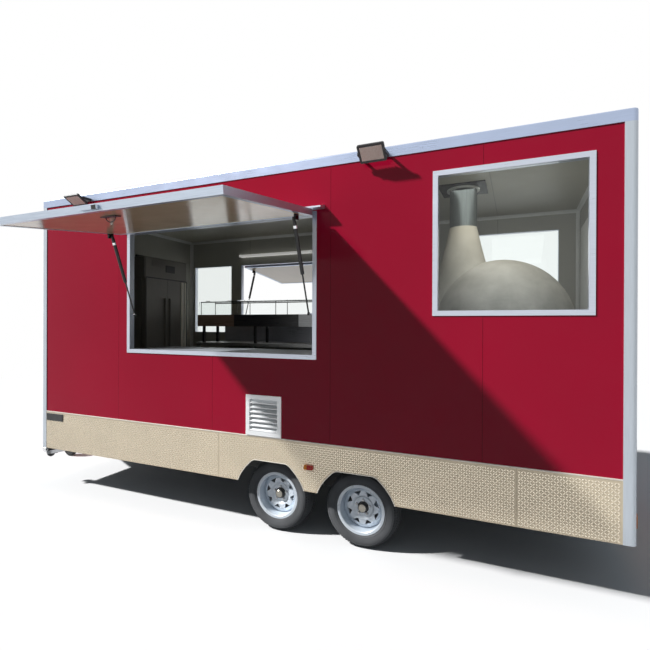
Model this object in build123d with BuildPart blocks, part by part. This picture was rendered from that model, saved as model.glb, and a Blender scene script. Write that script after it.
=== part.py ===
from build123d import *
from math import ceil, cos, radians, sin
import os

os.makedirs("parts", exist_ok=True)

# Body shell, in millimetres
body_length = 5400.0
body_width = 2400.0
body_height = 2660.0
skirt_clearance = 410.0
wall_thickness = 50.0
roof_thickness = 60.0
floor_thickness = 50.0
floor_height = 200.0
trim_proud = 6.0
post_width = 75.0
rail_height = 80.0
corner_radius = 32.0
rail_round = 10.0
skirt_height = 390.0
skirt_thickness = 4.0
panel_pitch = 1128.0
panel_joint = 0.6
seat_gap = 0.2

# Running gear
tyre_radius = 297.0
tyre_width = 185.0
tyre_bore_radius = 176.0
tyre_inset = 80.0
axle_group_from_front = 3236.0
axle_spacing = 746.0
axle_beam = 50.0
stub_radius = 24.0
rim_flange_radius = 195.0
rim_width = 150.0
rim_sheet = 5.0
rim_lip = 6.3
rim_lip_bevel = 5.0
wheel_window_count = 8
wheel_window_radius = 112.0
wheel_window_base = 62.0
wheel_window_depth = 34.0
spring_width = 50.0
spring_half_length = 322.0
spring_pack_height = 30.0
spring_rise = 26.0
spring_eye_radius = 17.0
hanger_thickness = 8.0
arch_bottom_width = 625.0
arch_top_width = 322.0
arch_height = 192.0
arch_corner_radius = 80.0
arch_bow = 16.0
arch_shift = -18.0
wheel_box_clearance = 45.0
wheel_box_sheet = 4.0
bead_play = 0.3
tyre_crown_drop = 3.0
tyre_crown_inset = 28.0
tyre_shoulder_drop = 14.0
tyre_shoulder_inset = 11.0
tyre_bulge_share = 0.48
beam_gap = 4.0
stub_past_middle = 20.0
spring_end_height = 12.0
spring_clamp_length = 90.0
spring_clamp_rise = 8.0
eye_pin_radius = 8.0
hanger_half_length = 26.0
hanger_below_eye = 22.0
hanger_flare = 40.0
hanger_weld = 30.0

# Chassis and drawbar
main_rail_height = 100.0
main_rail_width = 60.0
main_rail_from_tyre = 105.0
cross_member_size = 50.0
cross_member_pitch = 600.0
drawbar_reach = 1300.0
drawbar_width_at_body = 1200.0
arm_notch = 76.0
drawbar_nose_gap = 30.0
drawbar_nose_setback = 170.0
coupling_plate = 12.0
coupling_width = 96.0
coupling_length = 270.0
coupling_height = 72.0
ball_socket_radius = 25.4
ball_socket_depth = 34.0
coupling_gap = 4.0
coupling_slope = 40.0
coupling_nose_radius = 46.0
lever_start = 60.0
lever_size = (120.0, 26.0, 14.0)
jockey_from_nose = 560.0
jockey_tube_radius = 30.0
jockey_stem_radius = 23.5
jockey_tube_height = 520.0
jockey_tube_bottom = 270.0
jockey_wheel_radius = 110.0
jockey_wheel_width = 62.0
jockey_trail = 45.0
jockey_pin_radius = 9.0
fork_plate = 8.0
fork_side_gap = 6.0
fork_top_gap = 12.0
fork_lead = 34.0
fork_tail = 30.0
fork_foot_half = 22.0
fork_below_axle = 20.0
stem_short_of_top = 80.0
clamp_room = 40.0
clamp_half_width = 30.0
clamp_inset = 20.0
crank_reach = 100.0
crank_bar = (20.0, 16.0, 12.0)
crank_grip_radius = 9.0
crank_grip_length = 80.0

# Road wheel's disc, from the rim to the middle: radius, distance out from the wheel's middle
disc_outline = (
    (173.7, -16.0), (152.0, 10.0), (128.0, 22.0), (94.0, 22.0), (76.0, 10.0), (40.0, 10.0),
    (40.0, 1.0), (80.0, 1.0), (96.0, 13.0), (124.0, 13.0), (144.0, 2.0), (172.0, -26.0),
)
# Hub, drum and cap round the stub: radius, distance out from the wheel's middle
hub_outline = (
    (24.5, -68.0), (112.0, -68.0), (112.0, -42.0), (62.0, -36.0), (62.0, 1.0), (40.0, 1.0),
    (36.0, 14.0), (36.0, 40.0), (26.0, 48.0), (0.0, 48.0), (0.0, 24.0), (24.5, 24.0),
)
# How far the front and rear wheels have turned
wheel_turns = {"front": 32.5, "rear": 21.0}
wheel_window_from_middle = -4.0
# Half of the jockey wheel's section from the bore outwards: radius, inset from the wheel's side
jockey_outline = ((34.0, 0.0), (40.0, 12.0), (70.0, 12.0), (76.0, 3.0), (96.0, 3.0), (110.0, 16.0))

# Openings in the walls, measured from the body's front and from the skirt's lower edge
frame_face = 36.0
frame_wall = 6.0
hatch_width = 2024.0
hatch_sill = 1057.0
hatch_top = 2238.0
near_hatch_from_rear = 4159.0
far_hatch_start = 945.0
oven_window_from_rear = 1228.0
oven_window_width = 1004.0
oven_window_sill = 1402.0
oven_window_top = 2430.0
side_window_start = 96.0
side_window_width = 740.0
side_window_sill = 1180.0
side_window_top = 2238.0
glass_thickness = 6.0
glass_play = 0.2
door_edge_from_side = 120.0
door_width = 618.0
door_height = 2180.0
door_corner = 70.0
door_gap = 6.0
door_hinge_proud = 16.0
door_hinge_radius = 9.0
door_pin_radius = 5.0
door_strap = 60.0
door_hinge_inset = 340.0
handle_above_sill = 520.0
handle_from_edge = 30.0
handle_plate = (12.0, 80.0, 160.0)
handle_grip = (12.0, 40.0, 80.0)
vent_start = 2614.0
vent_size = 340.0
vent_bottom = 402.0
vent_proud = 14.0
vent_border = 30.0
vent_blades = 7
blade_setback = 2.0
blade_tenon = 3.0
blade_thickness = 6.0
blade_rise = 30.0

# Serving hatch and its gas struts
hatch_open_drop = 7.1
hatch_hinge_out = 66.0
hatch_hinge_below_top = 6.0
hatch_length = 1165.0
hatch_thickness = 50.0
hatch_edge_width = 40.0
hatch_edge_sheet = 3.0
hatch_outer_rise = 4.0
hatch_hinge_gap = 16.0
hinge_rod_radius = 6.0
hinge_knuckle_radius = 12.0
hinge_play = 0.5
hinge_knuckles = 5
hinge_lug_width = 60.0
hinge_rail_depth = 80.0
hinge_rail_height = 34.0
hinge_rail_sheet = 12.0
hinge_rail_overhang = 68.0
strut_inset = 42.0
strut_low_depth = 24.0
strut_low_height = 1423.0
strut_high_along = 185.0
strut_high_below = 78.0
strut_tube_radius = 15.0
strut_rod_radius = 6.5
strut_eye_radius = 13.0
strut_eye_width = 14.0
strut_pin_radius = 5.0
strut_pin_play = 0.4
strut_tube_length = 430.0
strut_rod_overlap = 180.0
latch_width = 150.0
latch_depth = 22.0
latch_height = 26.0

# Lamps and small outside fittings
flood_width = 205.0
flood_height = 140.0
flood_depth = 16.0
flood_out = 92.0
flood_below_roof = 66.0
flood_fins = 7
flood_lens_depth = 3.0
flood_border = 18.0
flood_fin = (4.0, 98.0, 14.0)
flood_arm = 6.0
flood_arm_reach = 8.0
flood_back_plate = 5.0
flood_bracket = 24.0
# Flood lamps along the near rail: distance from the front, drop of the face, tilt; then the one inside
flood_places = ((640.0, 20.0, 60.0), (3746.0, 5.0, 46.0))
inner_flood_tilt = 46.0
inner_flood_from_near_side = 330.0
inner_flood_height = 2330.0
marker_from_front = 3203.0
marker_height = 196.0
marker_size = (76.0, 16.0, 34.0)
tail_lamp_size = (26.0, 230.0, 96.0)
tail_lamp_inset = 130.0
tail_lamp_height = 106.0
inlet_height = 758.0
inlet_from_side = 150.0
inlet_depth = 30.0
inlet_corner = 12.0
# Covers on the front wall: offset in height, width, height
inlet_covers = ((0.0, 120.0, 205.0), (193.0, 54.0, 54.0), (-198.0, 60.0, 65.0))
steady_from_front = 447.0
steady_leg_length = 392.0
steady_rest_drop = 14.0
steady_leg_width = 44.0
steady_foot_size = 96.0
steady_side_gap = 8.0
steady_pin_radius = 8.0
steady_leg_depth = 36.0
steady_foot_plate = 8.0
steady_cheek = 5.0
steady_cheek_half = 40.0
steady_cheek_below = 16.0
steady_pin_below = 24.0
steady_channel_start = 20.0

# Fittings inside
oven_from_rear = 810.0
oven_off_middle = -100.0
oven_radius = 600.0
oven_height = 610.0
oven_shell = 95.0
hearth_height = 1310.0
hearth_slab = 80.0
hearth_margin = 20.0
oven_mouth_width = 420.0
oven_mouth_height = 260.0
oven_mouth_jamb = 80.0
oven_neck_offset = 328.0
oven_neck_base_radius = 400.0
oven_neck_waist_radius = 190.0
oven_neck_waist_height = 1950.0
oven_neck_top = 2236.0
flue_radius = 122.0
flue_rise = 240.0
flue_cap_radius = 200.0
flue_plate = 410.0
flue_plate_thickness = 8.0
flue_collar_radius = 146.0
flue_collar_height = 14.0
stand_leg = 60.0
stand_leg_inset = 60.0
stand_shelf_height = 180.0
stand_shelf_thickness = 30.0
flue_cap_depth = 60.0
flue_cap_rim = 10.0
fridge_depth = 698.0
fridge_width = 700.0
fridge_height = 1680.0
fridge_from_bench = 267.0
fridge_foot = 60.0
fridge_foot_radius = 22.0
fridge_foot_inset = 60.0
fridge_door_thickness = 60.0
fridge_groove = 6.0
fridge_groove_depth = 8.0
fridge_handle_from_middle = 40.0
fridge_handle = (28.0, 24.0, 750.0)
fridge_handle_height = 700.0
counter_depth = 560.0
counter_thickness = 40.0
counter_leg = 40.0
bench_start = 700.0
bench_length = 1800.0
bench_depth = 660.0
bench_height = 890.0
bench_shelf_height = 180.0
bench_shelf_thickness = 20.0
display_inset = 20.0
display_leg = 30.0
display_leg_from_end = 80.0
display_leg_from_side = 40.0
display_glass_slope = 40.0
display_depth = 380.0
display_height = 155.0
display_base = 1106.0
display_glass_height = 190.0
display_glass_thickness = 8.0

# Planes and levels that the pieces share
overall_length = drawbar_reach + body_length + tail_lamp_size[0]
nose_x = -overall_length / 2
front_x = nose_x + drawbar_reach
rear_x = front_x + body_length
mid_x = (front_x + rear_x) / 2
side_y = body_width / 2
wall_y = side_y - trim_proud
shell = trim_proud + wall_thickness
inner_y = side_y - shell
skirt_z = skirt_clearance
floor_top = skirt_z + floor_height
floor_bottom = floor_top - floor_thickness
roof_top = skirt_z + body_height
ceiling_z = roof_top - roof_thickness
rail_bottom = roof_top - rail_height
cross_top = floor_bottom
cross_bottom = cross_top - cross_member_size
main_top = cross_bottom
main_bottom = main_top - main_rail_height
axle_xs = [front_x + axle_group_from_front + n * axle_spacing / 2 for n in (-1, 1)]
axle_z = tyre_radius
wheel_y = side_y - tyre_inset - tyre_width / 2
main_rail_offset = wheel_y - tyre_width / 2 - main_rail_from_tyre - main_rail_width / 2
well_top = 2 * tyre_radius + wheel_box_clearance
well_start = axle_xs[0] - tyre_radius - wheel_box_clearance
well_end = axle_xs[1] + tyre_radius + wheel_box_clearance
well_inner_y = wheel_y - tyre_width / 2 - wheel_box_clearance
hinge_z = skirt_z + hatch_top - hatch_hinge_below_top
hinge_y = side_y + hatch_hinge_out
near_hatch_start = body_length - near_hatch_from_rear
oven_window_start = body_length - oven_window_from_rear
sides = (("near", -1, near_hatch_start), ("far", 1, far_hatch_start))


def save(builder, name):
    builder.part.label = name
    export_step(builder.part, f"parts/{name}.step")


def block(x_range, y_range, z_range, mode=Mode.ADD):
    """Add or cut a block given by its low and high planes."""
    centre = [(low + high) / 2 for low, high in (x_range, y_range, z_range)]
    size = [high - low for low, high in (x_range, y_range, z_range)]
    with Locations(tuple(centre)):
        Box(*size, mode=mode)


def rect(x_range, z_range, mode=Mode.ADD):
    """Add or cut a rectangle of the sketch given by its low and high lines."""
    with Locations(((x_range[0] + x_range[1]) / 2, (z_range[0] + z_range[1]) / 2)):
        Rectangle(x_range[1] - x_range[0], z_range[1] - z_range[0], mode=mode)


def side_plane(side, y):
    """Upright plane at a distance from the middle, read as X across and Z up."""
    return Plane.XZ.offset(-side * y)


def opening(start, width, sill, top, inset):
    """Ranges in X and Z of a framed opening, moved in from the frame's outer edge."""
    return (
        (front_x + start + inset, front_x + start + width - inset),
        (skirt_z + sill + inset, skirt_z + top - inset),
    )


# Framed openings: wall, first edge, width, sill, head
framed = {
    "near_hatch": (-1, near_hatch_start, hatch_width, hatch_sill, hatch_top),
    "far_hatch": (1, far_hatch_start, hatch_width, hatch_sill, hatch_top),
    "near_window": (-1, oven_window_start, oven_window_width, oven_window_sill, oven_window_top),
    "far_window": (1, oven_window_start, oven_window_width, oven_window_sill, oven_window_top),
    "side_window": (1, side_window_start, side_window_width, side_window_sill, side_window_top),
}
reveal_inset = frame_face - frame_wall
vent_top = vent_bottom + vent_size
vent_hole = opening(vent_start, vent_size, vent_bottom, vent_top, vent_border)

# Door opening in the rear wall, read as Y across and Z up
door_y = (side_y - door_edge_from_side - door_width, side_y - door_edge_from_side)
door_z = (floor_top, floor_top + door_height)
door_notch = (door_y[0] - frame_face, door_y[1] + frame_face)
door_centre = ((door_y[0] + door_y[1]) / 2, (door_z[0] + door_z[1]) / 2)


def corner_ring():
    """Closed ring of the shell's thickness, used for the posts and the roof rails."""
    with Locations((mid_x, 0)):
        RectangleRounded(body_length, body_width, corner_radius)
        Rectangle(body_length - 2 * shell, body_width - 2 * shell, mode=Mode.SUBTRACT)


# Corner posts: the four corners of the shell's ring
with BuildPart() as corner_posts:
    with BuildSketch(Plane.XY.offset(skirt_z)):
        corner_ring()
        with Locations((mid_x, 0)):
            Rectangle(body_length - 2 * post_width, 2 * body_width, mode=Mode.SUBTRACT)
            Rectangle(2 * body_length, body_width - 2 * post_width, mode=Mode.SUBTRACT)
    extrude(amount=rail_bottom - skirt_z)
save(corner_posts, "corner_posts")

# Roof rails: one ring whose upper outer edge is rounded
with BuildPart() as roof_rails:
    with BuildSketch(Plane.XY.offset(rail_bottom)):
        corner_ring()
    extrude(amount=rail_height)
    rim = roof_rails.faces().sort_by(Axis.Z)[-1].outer_wire().edges()
    fillet(rim, radius=rail_round)
save(roof_rails, "roof_rails")

# Long walls: sandwich panels with a joint between them, with their openings cut
seam_xs = [front_x + panel_pitch * n for n in range(1, ceil(body_length / panel_pitch))]
half_joint = panel_joint / 2
panel_edges = [front_x + post_width - half_joint] + seam_xs + [rear_x - post_width + half_joint]
for name, side, _ in sides:
    with BuildPart() as long_wall:
        with BuildSketch(side_plane(side, wall_y)):
            for low, high in zip(panel_edges, panel_edges[1:]):
                rect((low + half_joint, high - half_joint), (floor_bottom, rail_bottom))
            for wall_side, *size in framed.values():
                if wall_side == side:
                    rect(*opening(*size, reveal_inset), mode=Mode.SUBTRACT)
            if side < 0:
                rect(*vent_hole, mode=Mode.SUBTRACT)
            rect((well_start, well_end), (floor_bottom, well_top), mode=Mode.SUBTRACT)
        extrude(amount=side * wall_thickness)
    save(long_wall, f"{name}_wall")

# End walls between the posts, the rear one with its door opening
end_panels = (-side_y + post_width, side_y - post_width)
for name, outer_x, inward in (("front", front_x + trim_proud, 1), ("rear", rear_x - trim_proud, -1)):
    with BuildPart() as end_wall:
        with BuildSketch(Plane.YZ.offset(outer_x)):
            rect(end_panels, (floor_bottom, rail_bottom))
            if name == "rear":
                with Locations(door_centre):
                    RectangleRounded(door_width, door_height, door_corner, mode=Mode.SUBTRACT)
        extrude(amount=inward * wall_thickness)
    save(end_wall, f"{name}_wall")

# Roof panel between the rails, with the hole for the flue
flue_x = rear_x - oven_from_rear - oven_neck_offset
flue_y = oven_off_middle
with BuildPart() as roof_panel:
    with BuildSketch(Plane.XY.offset(ceiling_z)):
        with Locations((mid_x, 0)):
            Rectangle(body_length - 2 * shell, body_width - 2 * shell)
        with Locations((flue_x, flue_y)):
            Circle(flue_radius + glass_play, mode=Mode.SUBTRACT)
    extrude(amount=roof_thickness)
save(roof_panel, "roof_panel")

# Floor panel, cut back round the wheel boxes
with BuildPart() as floor_panel:
    with BuildSketch(Plane.XY.offset(floor_bottom)):
        with Locations((mid_x, 0)):
            Rectangle(body_length - 2 * shell, body_width - 2 * shell)
        for side in (-1, 1):
            span = sorted((side * well_inner_y, side * side_y))
            rect((well_start, well_end), span, mode=Mode.SUBTRACT)
    extrude(amount=floor_thickness)
save(floor_panel, "floor_panel")

# Wheel boxes: a lid and three sides round each pair of wheels
with BuildPart() as wheel_boxes:
    for side in (-1, 1):
        inner = sorted((side * well_inner_y, side * wall_y))
        cavity = sorted((side * (well_inner_y + wheel_box_sheet), side * (wall_y + 1)))
        block((well_start, well_end), inner, (floor_bottom, well_top))
        inside_x = (well_start + wheel_box_sheet, well_end - wheel_box_sheet)
        block(inside_x, cavity, (floor_bottom - 1, well_top - wheel_box_sheet), mode=Mode.SUBTRACT)
save(wheel_boxes, "wheel_boxes")

# Skirt plates along the sides with an arch over each wheel, and across both ends
with BuildPart() as skirt_plates:
    for side in (-1, 1):
        with BuildSketch(side_plane(side, wall_y)):
            rect((front_x + post_width, rear_x - post_width), (skirt_z, skirt_z + skirt_height))
            for axle_x in axle_xs:
                with BuildSketch(mode=Mode.SUBTRACT) as arch:
                    with BuildLine(Plane.XY.offset(0)):
                        half_base = arch_bottom_width / 2
                        half_top = arch_top_width / 2
                        middle = axle_x + arch_shift
                        arch_top = skirt_z + arch_height
                        feet = ((middle - half_base, skirt_z), (middle + half_base, skirt_z))
                        shoulders = ((middle - half_top, arch_top), (middle + half_top, arch_top))
                        SagittaArc(feet[0], shoulders[0], arch_bow)
                        Polyline(shoulders[0], shoulders[1])
                        SagittaArc(shoulders[1], feet[1], arch_bow)
                        Polyline(feet[1], feet[0])
                    make_face()
                    fillet(arch.vertices().group_by(Axis.Y)[-1], radius=arch_corner_radius)
        extrude(amount=-side * skirt_thickness)
    for outer_x, outward in ((front_x + trim_proud, -1), (rear_x - trim_proud, 1)):
        with BuildSketch(Plane.YZ.offset(outer_x)):
            rect(end_panels, (skirt_z, skirt_z + skirt_height))
            if outward < 0:
                for side in (-1, 1):
                    arm_edges = [side * drawbar_width_at_body / 2 + n * arm_notch / 2 for n in (-1, 1)]
                    rect(arm_edges, (skirt_z, main_top + skirt_thickness), mode=Mode.SUBTRACT)
            else:
                rect(door_notch, (floor_top - frame_face, roof_top), mode=Mode.SUBTRACT)
        extrude(amount=outward * skirt_thickness)
save(skirt_plates, "skirt_plates")

# Angle frames round the two serving hatches, mitred at their corners, with the lower strut pins
strut_low_y = side_y - strut_low_depth
strut_low_z = skirt_z + strut_low_height


def mitres(x_range, z_range):
    """Cut the four corners of a frame along their diagonals."""
    for n, corner_x in enumerate(x_range):
        for m, corner_z in enumerate(z_range):
            with Locations((corner_x, corner_z)):
                slant = 45 if n == m else -45
                Rectangle(4 * frame_face, seat_gap, rotation=slant, mode=Mode.SUBTRACT)


with BuildPart() as hatch_frames:
    for name, side, start in sides:
        size = framed[f"{name}_hatch"][1:]
        clear = opening(*size, frame_face)
        for inset, depth in ((0, -trim_proud), (reveal_inset, wall_thickness)):
            with BuildSketch(side_plane(side, wall_y)):
                rect(*opening(*size, inset))
                rect(*clear, mode=Mode.SUBTRACT)
                mitres(*opening(*size, 0))
            extrude(amount=side * depth)
        for jamb_x, inward in ((clear[0][0], 1), (clear[0][1], -1)):
            with BuildSketch(Plane.YZ.offset(jamb_x + inward * seat_gap)):
                with Locations((side * strut_low_y, strut_low_z)):
                    Circle(strut_pin_radius)
            extrude(amount=inward * (strut_inset + strut_eye_width / 2 - seat_gap))
save(hatch_frames, "hatch_frames")

# Angle frames round the windows and the door
with BuildPart() as window_frames:
    for name in ("near_window", "far_window", "side_window"):
        side, *size = framed[name]
        clear = opening(*size, frame_face)
        for inset, depth in ((0, -trim_proud), (reveal_inset, wall_thickness)):
            with BuildSketch(side_plane(side, wall_y)):
                rect(*opening(*size, inset))
                rect(*clear, mode=Mode.SUBTRACT)
                mitres(*opening(*size, 0))
            extrude(amount=side * depth)
    with BuildSketch(Plane.YZ.offset(rear_x - trim_proud)):
        with Locations(door_centre):
            outer_size = (door_width + 2 * frame_face, door_height + 2 * frame_face)
            RectangleRounded(*outer_size, door_corner + frame_face)
            RectangleRounded(door_width, door_height, door_corner, mode=Mode.SUBTRACT)
    extrude(amount=trim_proud)
    for lug_z in (door_z[0] + door_hinge_inset, door_z[1] - door_hinge_inset):
        for offset in (-1, 1):
            lug_low = lug_z + (3 * offset - 1) * door_hinge_radius
            block(
                (rear_x - trim_proud, rear_x + door_hinge_proud + door_pin_radius),
                (door_y[1] + door_gap / 2, door_y[1] + door_gap / 2 + 2 * door_hinge_radius),
                (lug_low, lug_low + 2 * door_hinge_radius),
            )
        with BuildSketch(Plane.XY.offset(lug_z - 3 * door_hinge_radius)):
            with Locations((rear_x + door_hinge_proud, door_y[1] + door_gap / 2 + door_hinge_radius)):
                Circle(door_pin_radius)
        extrude(amount=6 * door_hinge_radius)
save(window_frames, "window_frames")

# Glass of the oven windows and of the obscure side window
with BuildPart() as window_glass:
    for name in ("near_window", "far_window", "side_window"):
        side, *size = framed[name]
        with BuildSketch(side_plane(side, wall_y - wall_thickness / 2)):
            rect(*opening(*size, frame_face + glass_play))
        extrude(amount=side * glass_thickness)
save(window_glass, "window_glass")

# Louvred vent in the near wall
with BuildPart() as louvre_vent:
    vent_outer = opening(vent_start, vent_size, vent_bottom, vent_top, 0)
    vent_inner = opening(vent_start, vent_size, vent_bottom, vent_top, vent_border + frame_wall)
    with BuildSketch(side_plane(-1, wall_y)):
        rect(*vent_outer)
        rect(*vent_inner, mode=Mode.SUBTRACT)
    extrude(amount=vent_proud)
    with BuildSketch(side_plane(-1, wall_y)):
        rect(*vent_hole)
        rect(*vent_inner, mode=Mode.SUBTRACT)
    extrude(amount=-wall_thickness)
    blade_pitch = (vent_inner[1][1] - vent_inner[1][0]) / vent_blades
    blade_front = -wall_y - vent_proud + blade_setback
    blade_back = -wall_y + wall_thickness / 2
    with BuildSketch(Plane.YZ.offset(vent_inner[0][0] - blade_tenon)):
        for n in range(vent_blades):
            blade_low = vent_inner[1][0] + blade_setback + n * blade_pitch
            with BuildLine():
                Polyline(
                    (blade_front, blade_low),
                    (blade_front, blade_low + blade_thickness),
                    (blade_back, blade_low + blade_rise + blade_thickness),
                    (blade_back, blade_low + blade_rise),
                    close=True,
                )
            make_face()
    extrude(amount=vent_inner[0][1] - vent_inner[0][0] + 2 * blade_tenon)
save(louvre_vent, "louvre_vent")

# Hinge rails over the hatches: an eave with a rod under it, held by lugs
rail_low = hinge_z + hinge_knuckle_radius + hinge_play
hinge_step = hatch_width / hinge_knuckles
with BuildPart() as hinge_rails:
    for name, side, start in sides:
        hatch_x = (front_x + start, front_x + start + hatch_width)
        rail_x = (hatch_x[0] - hinge_rail_overhang, hatch_x[1] + hinge_rail_overhang)
        with BuildSketch(Plane.YZ.offset(rail_x[0])):
            with BuildLine():
                Polyline(
                    (side * wall_y, rail_low + trim_proud),
                    (side * wall_y, rail_low + hinge_rail_height),
                    (side * (wall_y + hinge_rail_sheet), rail_low + hinge_rail_height),
                    (side * (side_y + hinge_rail_depth), rail_low + hinge_rail_sheet),
                    (side * (side_y + hinge_rail_depth), rail_low),
                    (side * (side_y + trim_proud), rail_low),
                    (side * (side_y + trim_proud), rail_low + trim_proud),
                    close=True,
                )
            make_face()
        extrude(amount=rail_x[1] - rail_x[0])
        with BuildSketch(Plane.YZ.offset(hatch_x[0])):
            with Locations((side * hinge_y, hinge_z)):
                Circle(hinge_rod_radius)
        extrude(amount=hatch_width)
        for n in range(hinge_knuckles + 1):
            lug_x = hatch_x[0] + n * hinge_step
            lug_low = max(lug_x - hinge_lug_width / 2, hatch_x[0])
            lug_high = min(lug_x + hinge_lug_width / 2, hatch_x[1])
            lug_y = sorted((side * (hinge_y - hinge_rod_radius), side * (hinge_y + hinge_rod_radius)))
            block((lug_low, lug_high), lug_y, (hinge_z, rail_low))
save(hinge_rails, "hinge_rails")


def hatch_plane(side, start):
    """Plane of an open hatch: X along the hinge, Y down the panel, Z towards its inside."""
    drop = radians(hatch_open_drop)
    origin = (front_x + start + hatch_width / 2, side * hinge_y, hinge_z)
    return Plane(origin=origin, x_dir=(-side, 0, 0), z_dir=(0, -side * sin(drop), -cos(drop)))


hatch_middle = (hatch_hinge_gap + hatch_length) / 2
hatch_span = hatch_length - hatch_hinge_gap
strut_local_x = hatch_width / 2 - frame_face - strut_inset
core_low = -hatch_outer_rise + hatch_edge_sheet
core_thickness = hatch_thickness - 2 * hatch_edge_sheet
for name, side, start in sides:
    panel_plane = hatch_plane(side, start)
    core_width = hatch_width - 2 * hatch_edge_sheet
    core_span = hatch_span - 2 * hatch_edge_sheet
    # Sandwich panel with the upper strut brackets and pins on its inside
    with BuildPart() as hatch_panel:
        with BuildSketch(panel_plane.offset(core_low)):
            with Locations((0, hatch_middle)):
                Rectangle(core_width, core_span)
        extrude(amount=core_thickness)
        panel_inside = core_low + core_thickness
        for hand in (-1, 1):
            foot_x = hand * (strut_local_x + 1.5 * strut_eye_width)
            with BuildSketch(panel_plane.offset(panel_inside)):
                with Locations((foot_x, strut_high_along)):
                    Rectangle(strut_eye_width, 4 * strut_eye_width)
            extrude(amount=strut_high_below - panel_inside + strut_eye_radius)
            pin_plane = Plane(
                origin=panel_plane.from_local_coords(Vector(foot_x, strut_high_along, strut_high_below)),
                z_dir=panel_plane.x_dir * -hand,
            )
            with BuildSketch(pin_plane):
                Circle(strut_pin_radius)
            extrude(amount=strut_eye_width - strut_pin_play)
    save(hatch_panel, f"{name}_hatch_panel")

    # Channel round the panel's edge, with the hinge knuckles and the latch at the front
    with BuildPart() as hatch_edging:
        with BuildSketch(panel_plane.offset(-hatch_outer_rise)):
            with Locations((0, hatch_middle)):
                Rectangle(hatch_width, hatch_span)
                edge = 2 * hatch_edge_width
                Rectangle(hatch_width - edge, hatch_span - edge, mode=Mode.SUBTRACT)
        extrude(amount=hatch_thickness)
        with BuildSketch(panel_plane.offset(core_low)):
            with Locations((0, hatch_middle)):
                Rectangle(core_width, core_span)
        extrude(amount=core_thickness, mode=Mode.SUBTRACT)
        knuckle_length = hinge_step - hinge_lug_width - 2 * hinge_play
        for n in range(hinge_knuckles):
            knuckle_x = (n + 0.5) * hinge_step - hatch_width / 2 - knuckle_length / 2
            knuckle_plane = Plane(
                origin=panel_plane.from_local_coords(Vector(knuckle_x, 0, 0)),
                x_dir=panel_plane.y_dir,
                z_dir=panel_plane.x_dir,
            )
            with BuildSketch(knuckle_plane):
                Circle(hinge_knuckle_radius)
                rect((0, hatch_hinge_gap), (-hatch_outer_rise, hinge_rod_radius))
                Circle(hinge_rod_radius + hinge_play, mode=Mode.SUBTRACT)
            extrude(amount=knuckle_length)
        with BuildSketch(panel_plane.offset(-hatch_outer_rise + (hatch_thickness - latch_height) / 2)):
            with Locations((0, hatch_length + latch_depth / 2)):
                RectangleRounded(latch_width, latch_depth, latch_depth / 3)
        extrude(amount=latch_height)
    save(hatch_edging, f"{name}_hatch_edging")

    # Gas struts: a rod on the jamb pin and a tube that slides on it, with its eye at the hatch pin
    hatch_mid_x = front_x + start + hatch_width / 2
    strut_xs = (hatch_mid_x - strut_local_x, hatch_mid_x + strut_local_x)
    high = panel_plane.from_local_coords(Vector(0, strut_high_along, strut_high_below))
    low_point = Vector(0, side * strut_low_y, strut_low_z)
    reach = Vector(0, high.Y - low_point.Y, high.Z - low_point.Z)
    tube_start = reach.length - strut_tube_length
    strut_eye = ((strut_eye_radius, Mode.ADD), (strut_pin_radius + strut_pin_play, Mode.SUBTRACT))
    with BuildPart() as strut_rods:
        for strut_x in strut_xs:
            rod_plane = Plane(origin=low_point + Vector(strut_x, 0, 0), x_dir=(1, 0, 0), z_dir=reach)
            with BuildSketch(rod_plane):
                Circle(strut_rod_radius)
            extrude(amount=tube_start + strut_rod_overlap)
            eye_plane = Plane.YZ.offset(strut_x - strut_eye_width / 2)
            for eye_radius, mode in strut_eye:
                with BuildSketch(eye_plane):
                    with Locations((low_point.Y, low_point.Z)):
                        Circle(eye_radius)
                extrude(amount=strut_eye_width, mode=mode)
    save(strut_rods, f"{name}_strut_rods")

    with BuildPart() as strut_tubes:
        for strut_x in strut_xs:
            tube_plane = Plane(origin=low_point + Vector(strut_x, 0, 0), x_dir=(1, 0, 0), z_dir=reach)
            with BuildSketch(tube_plane.offset(tube_start)):
                Circle(strut_tube_radius)
            extrude(amount=strut_tube_length)
            with BuildSketch(tube_plane.offset(tube_start)):
                Circle(strut_rod_radius + strut_pin_play)
            extrude(amount=strut_tube_length - strut_eye_radius - strut_tube_radius, mode=Mode.SUBTRACT)
            eye_plane = Plane.YZ.offset(strut_x - strut_eye_width / 2)
            for cheek_plane, depth in ((eye_plane, -1), (eye_plane.offset(strut_eye_width), 1)):
                with BuildSketch(cheek_plane):
                    with Locations((high.Y, high.Z)):
                        Circle(2 * strut_tube_radius)
                extrude(amount=depth * strut_tube_radius, mode=Mode.SUBTRACT)
            for eye_radius, mode in strut_eye:
                with BuildSketch(eye_plane):
                    with Locations((high.Y, high.Z)):
                        Circle(eye_radius)
                extrude(amount=strut_eye_width, mode=mode)
    save(strut_tubes, f"{name}_strut_tubes")

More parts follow.
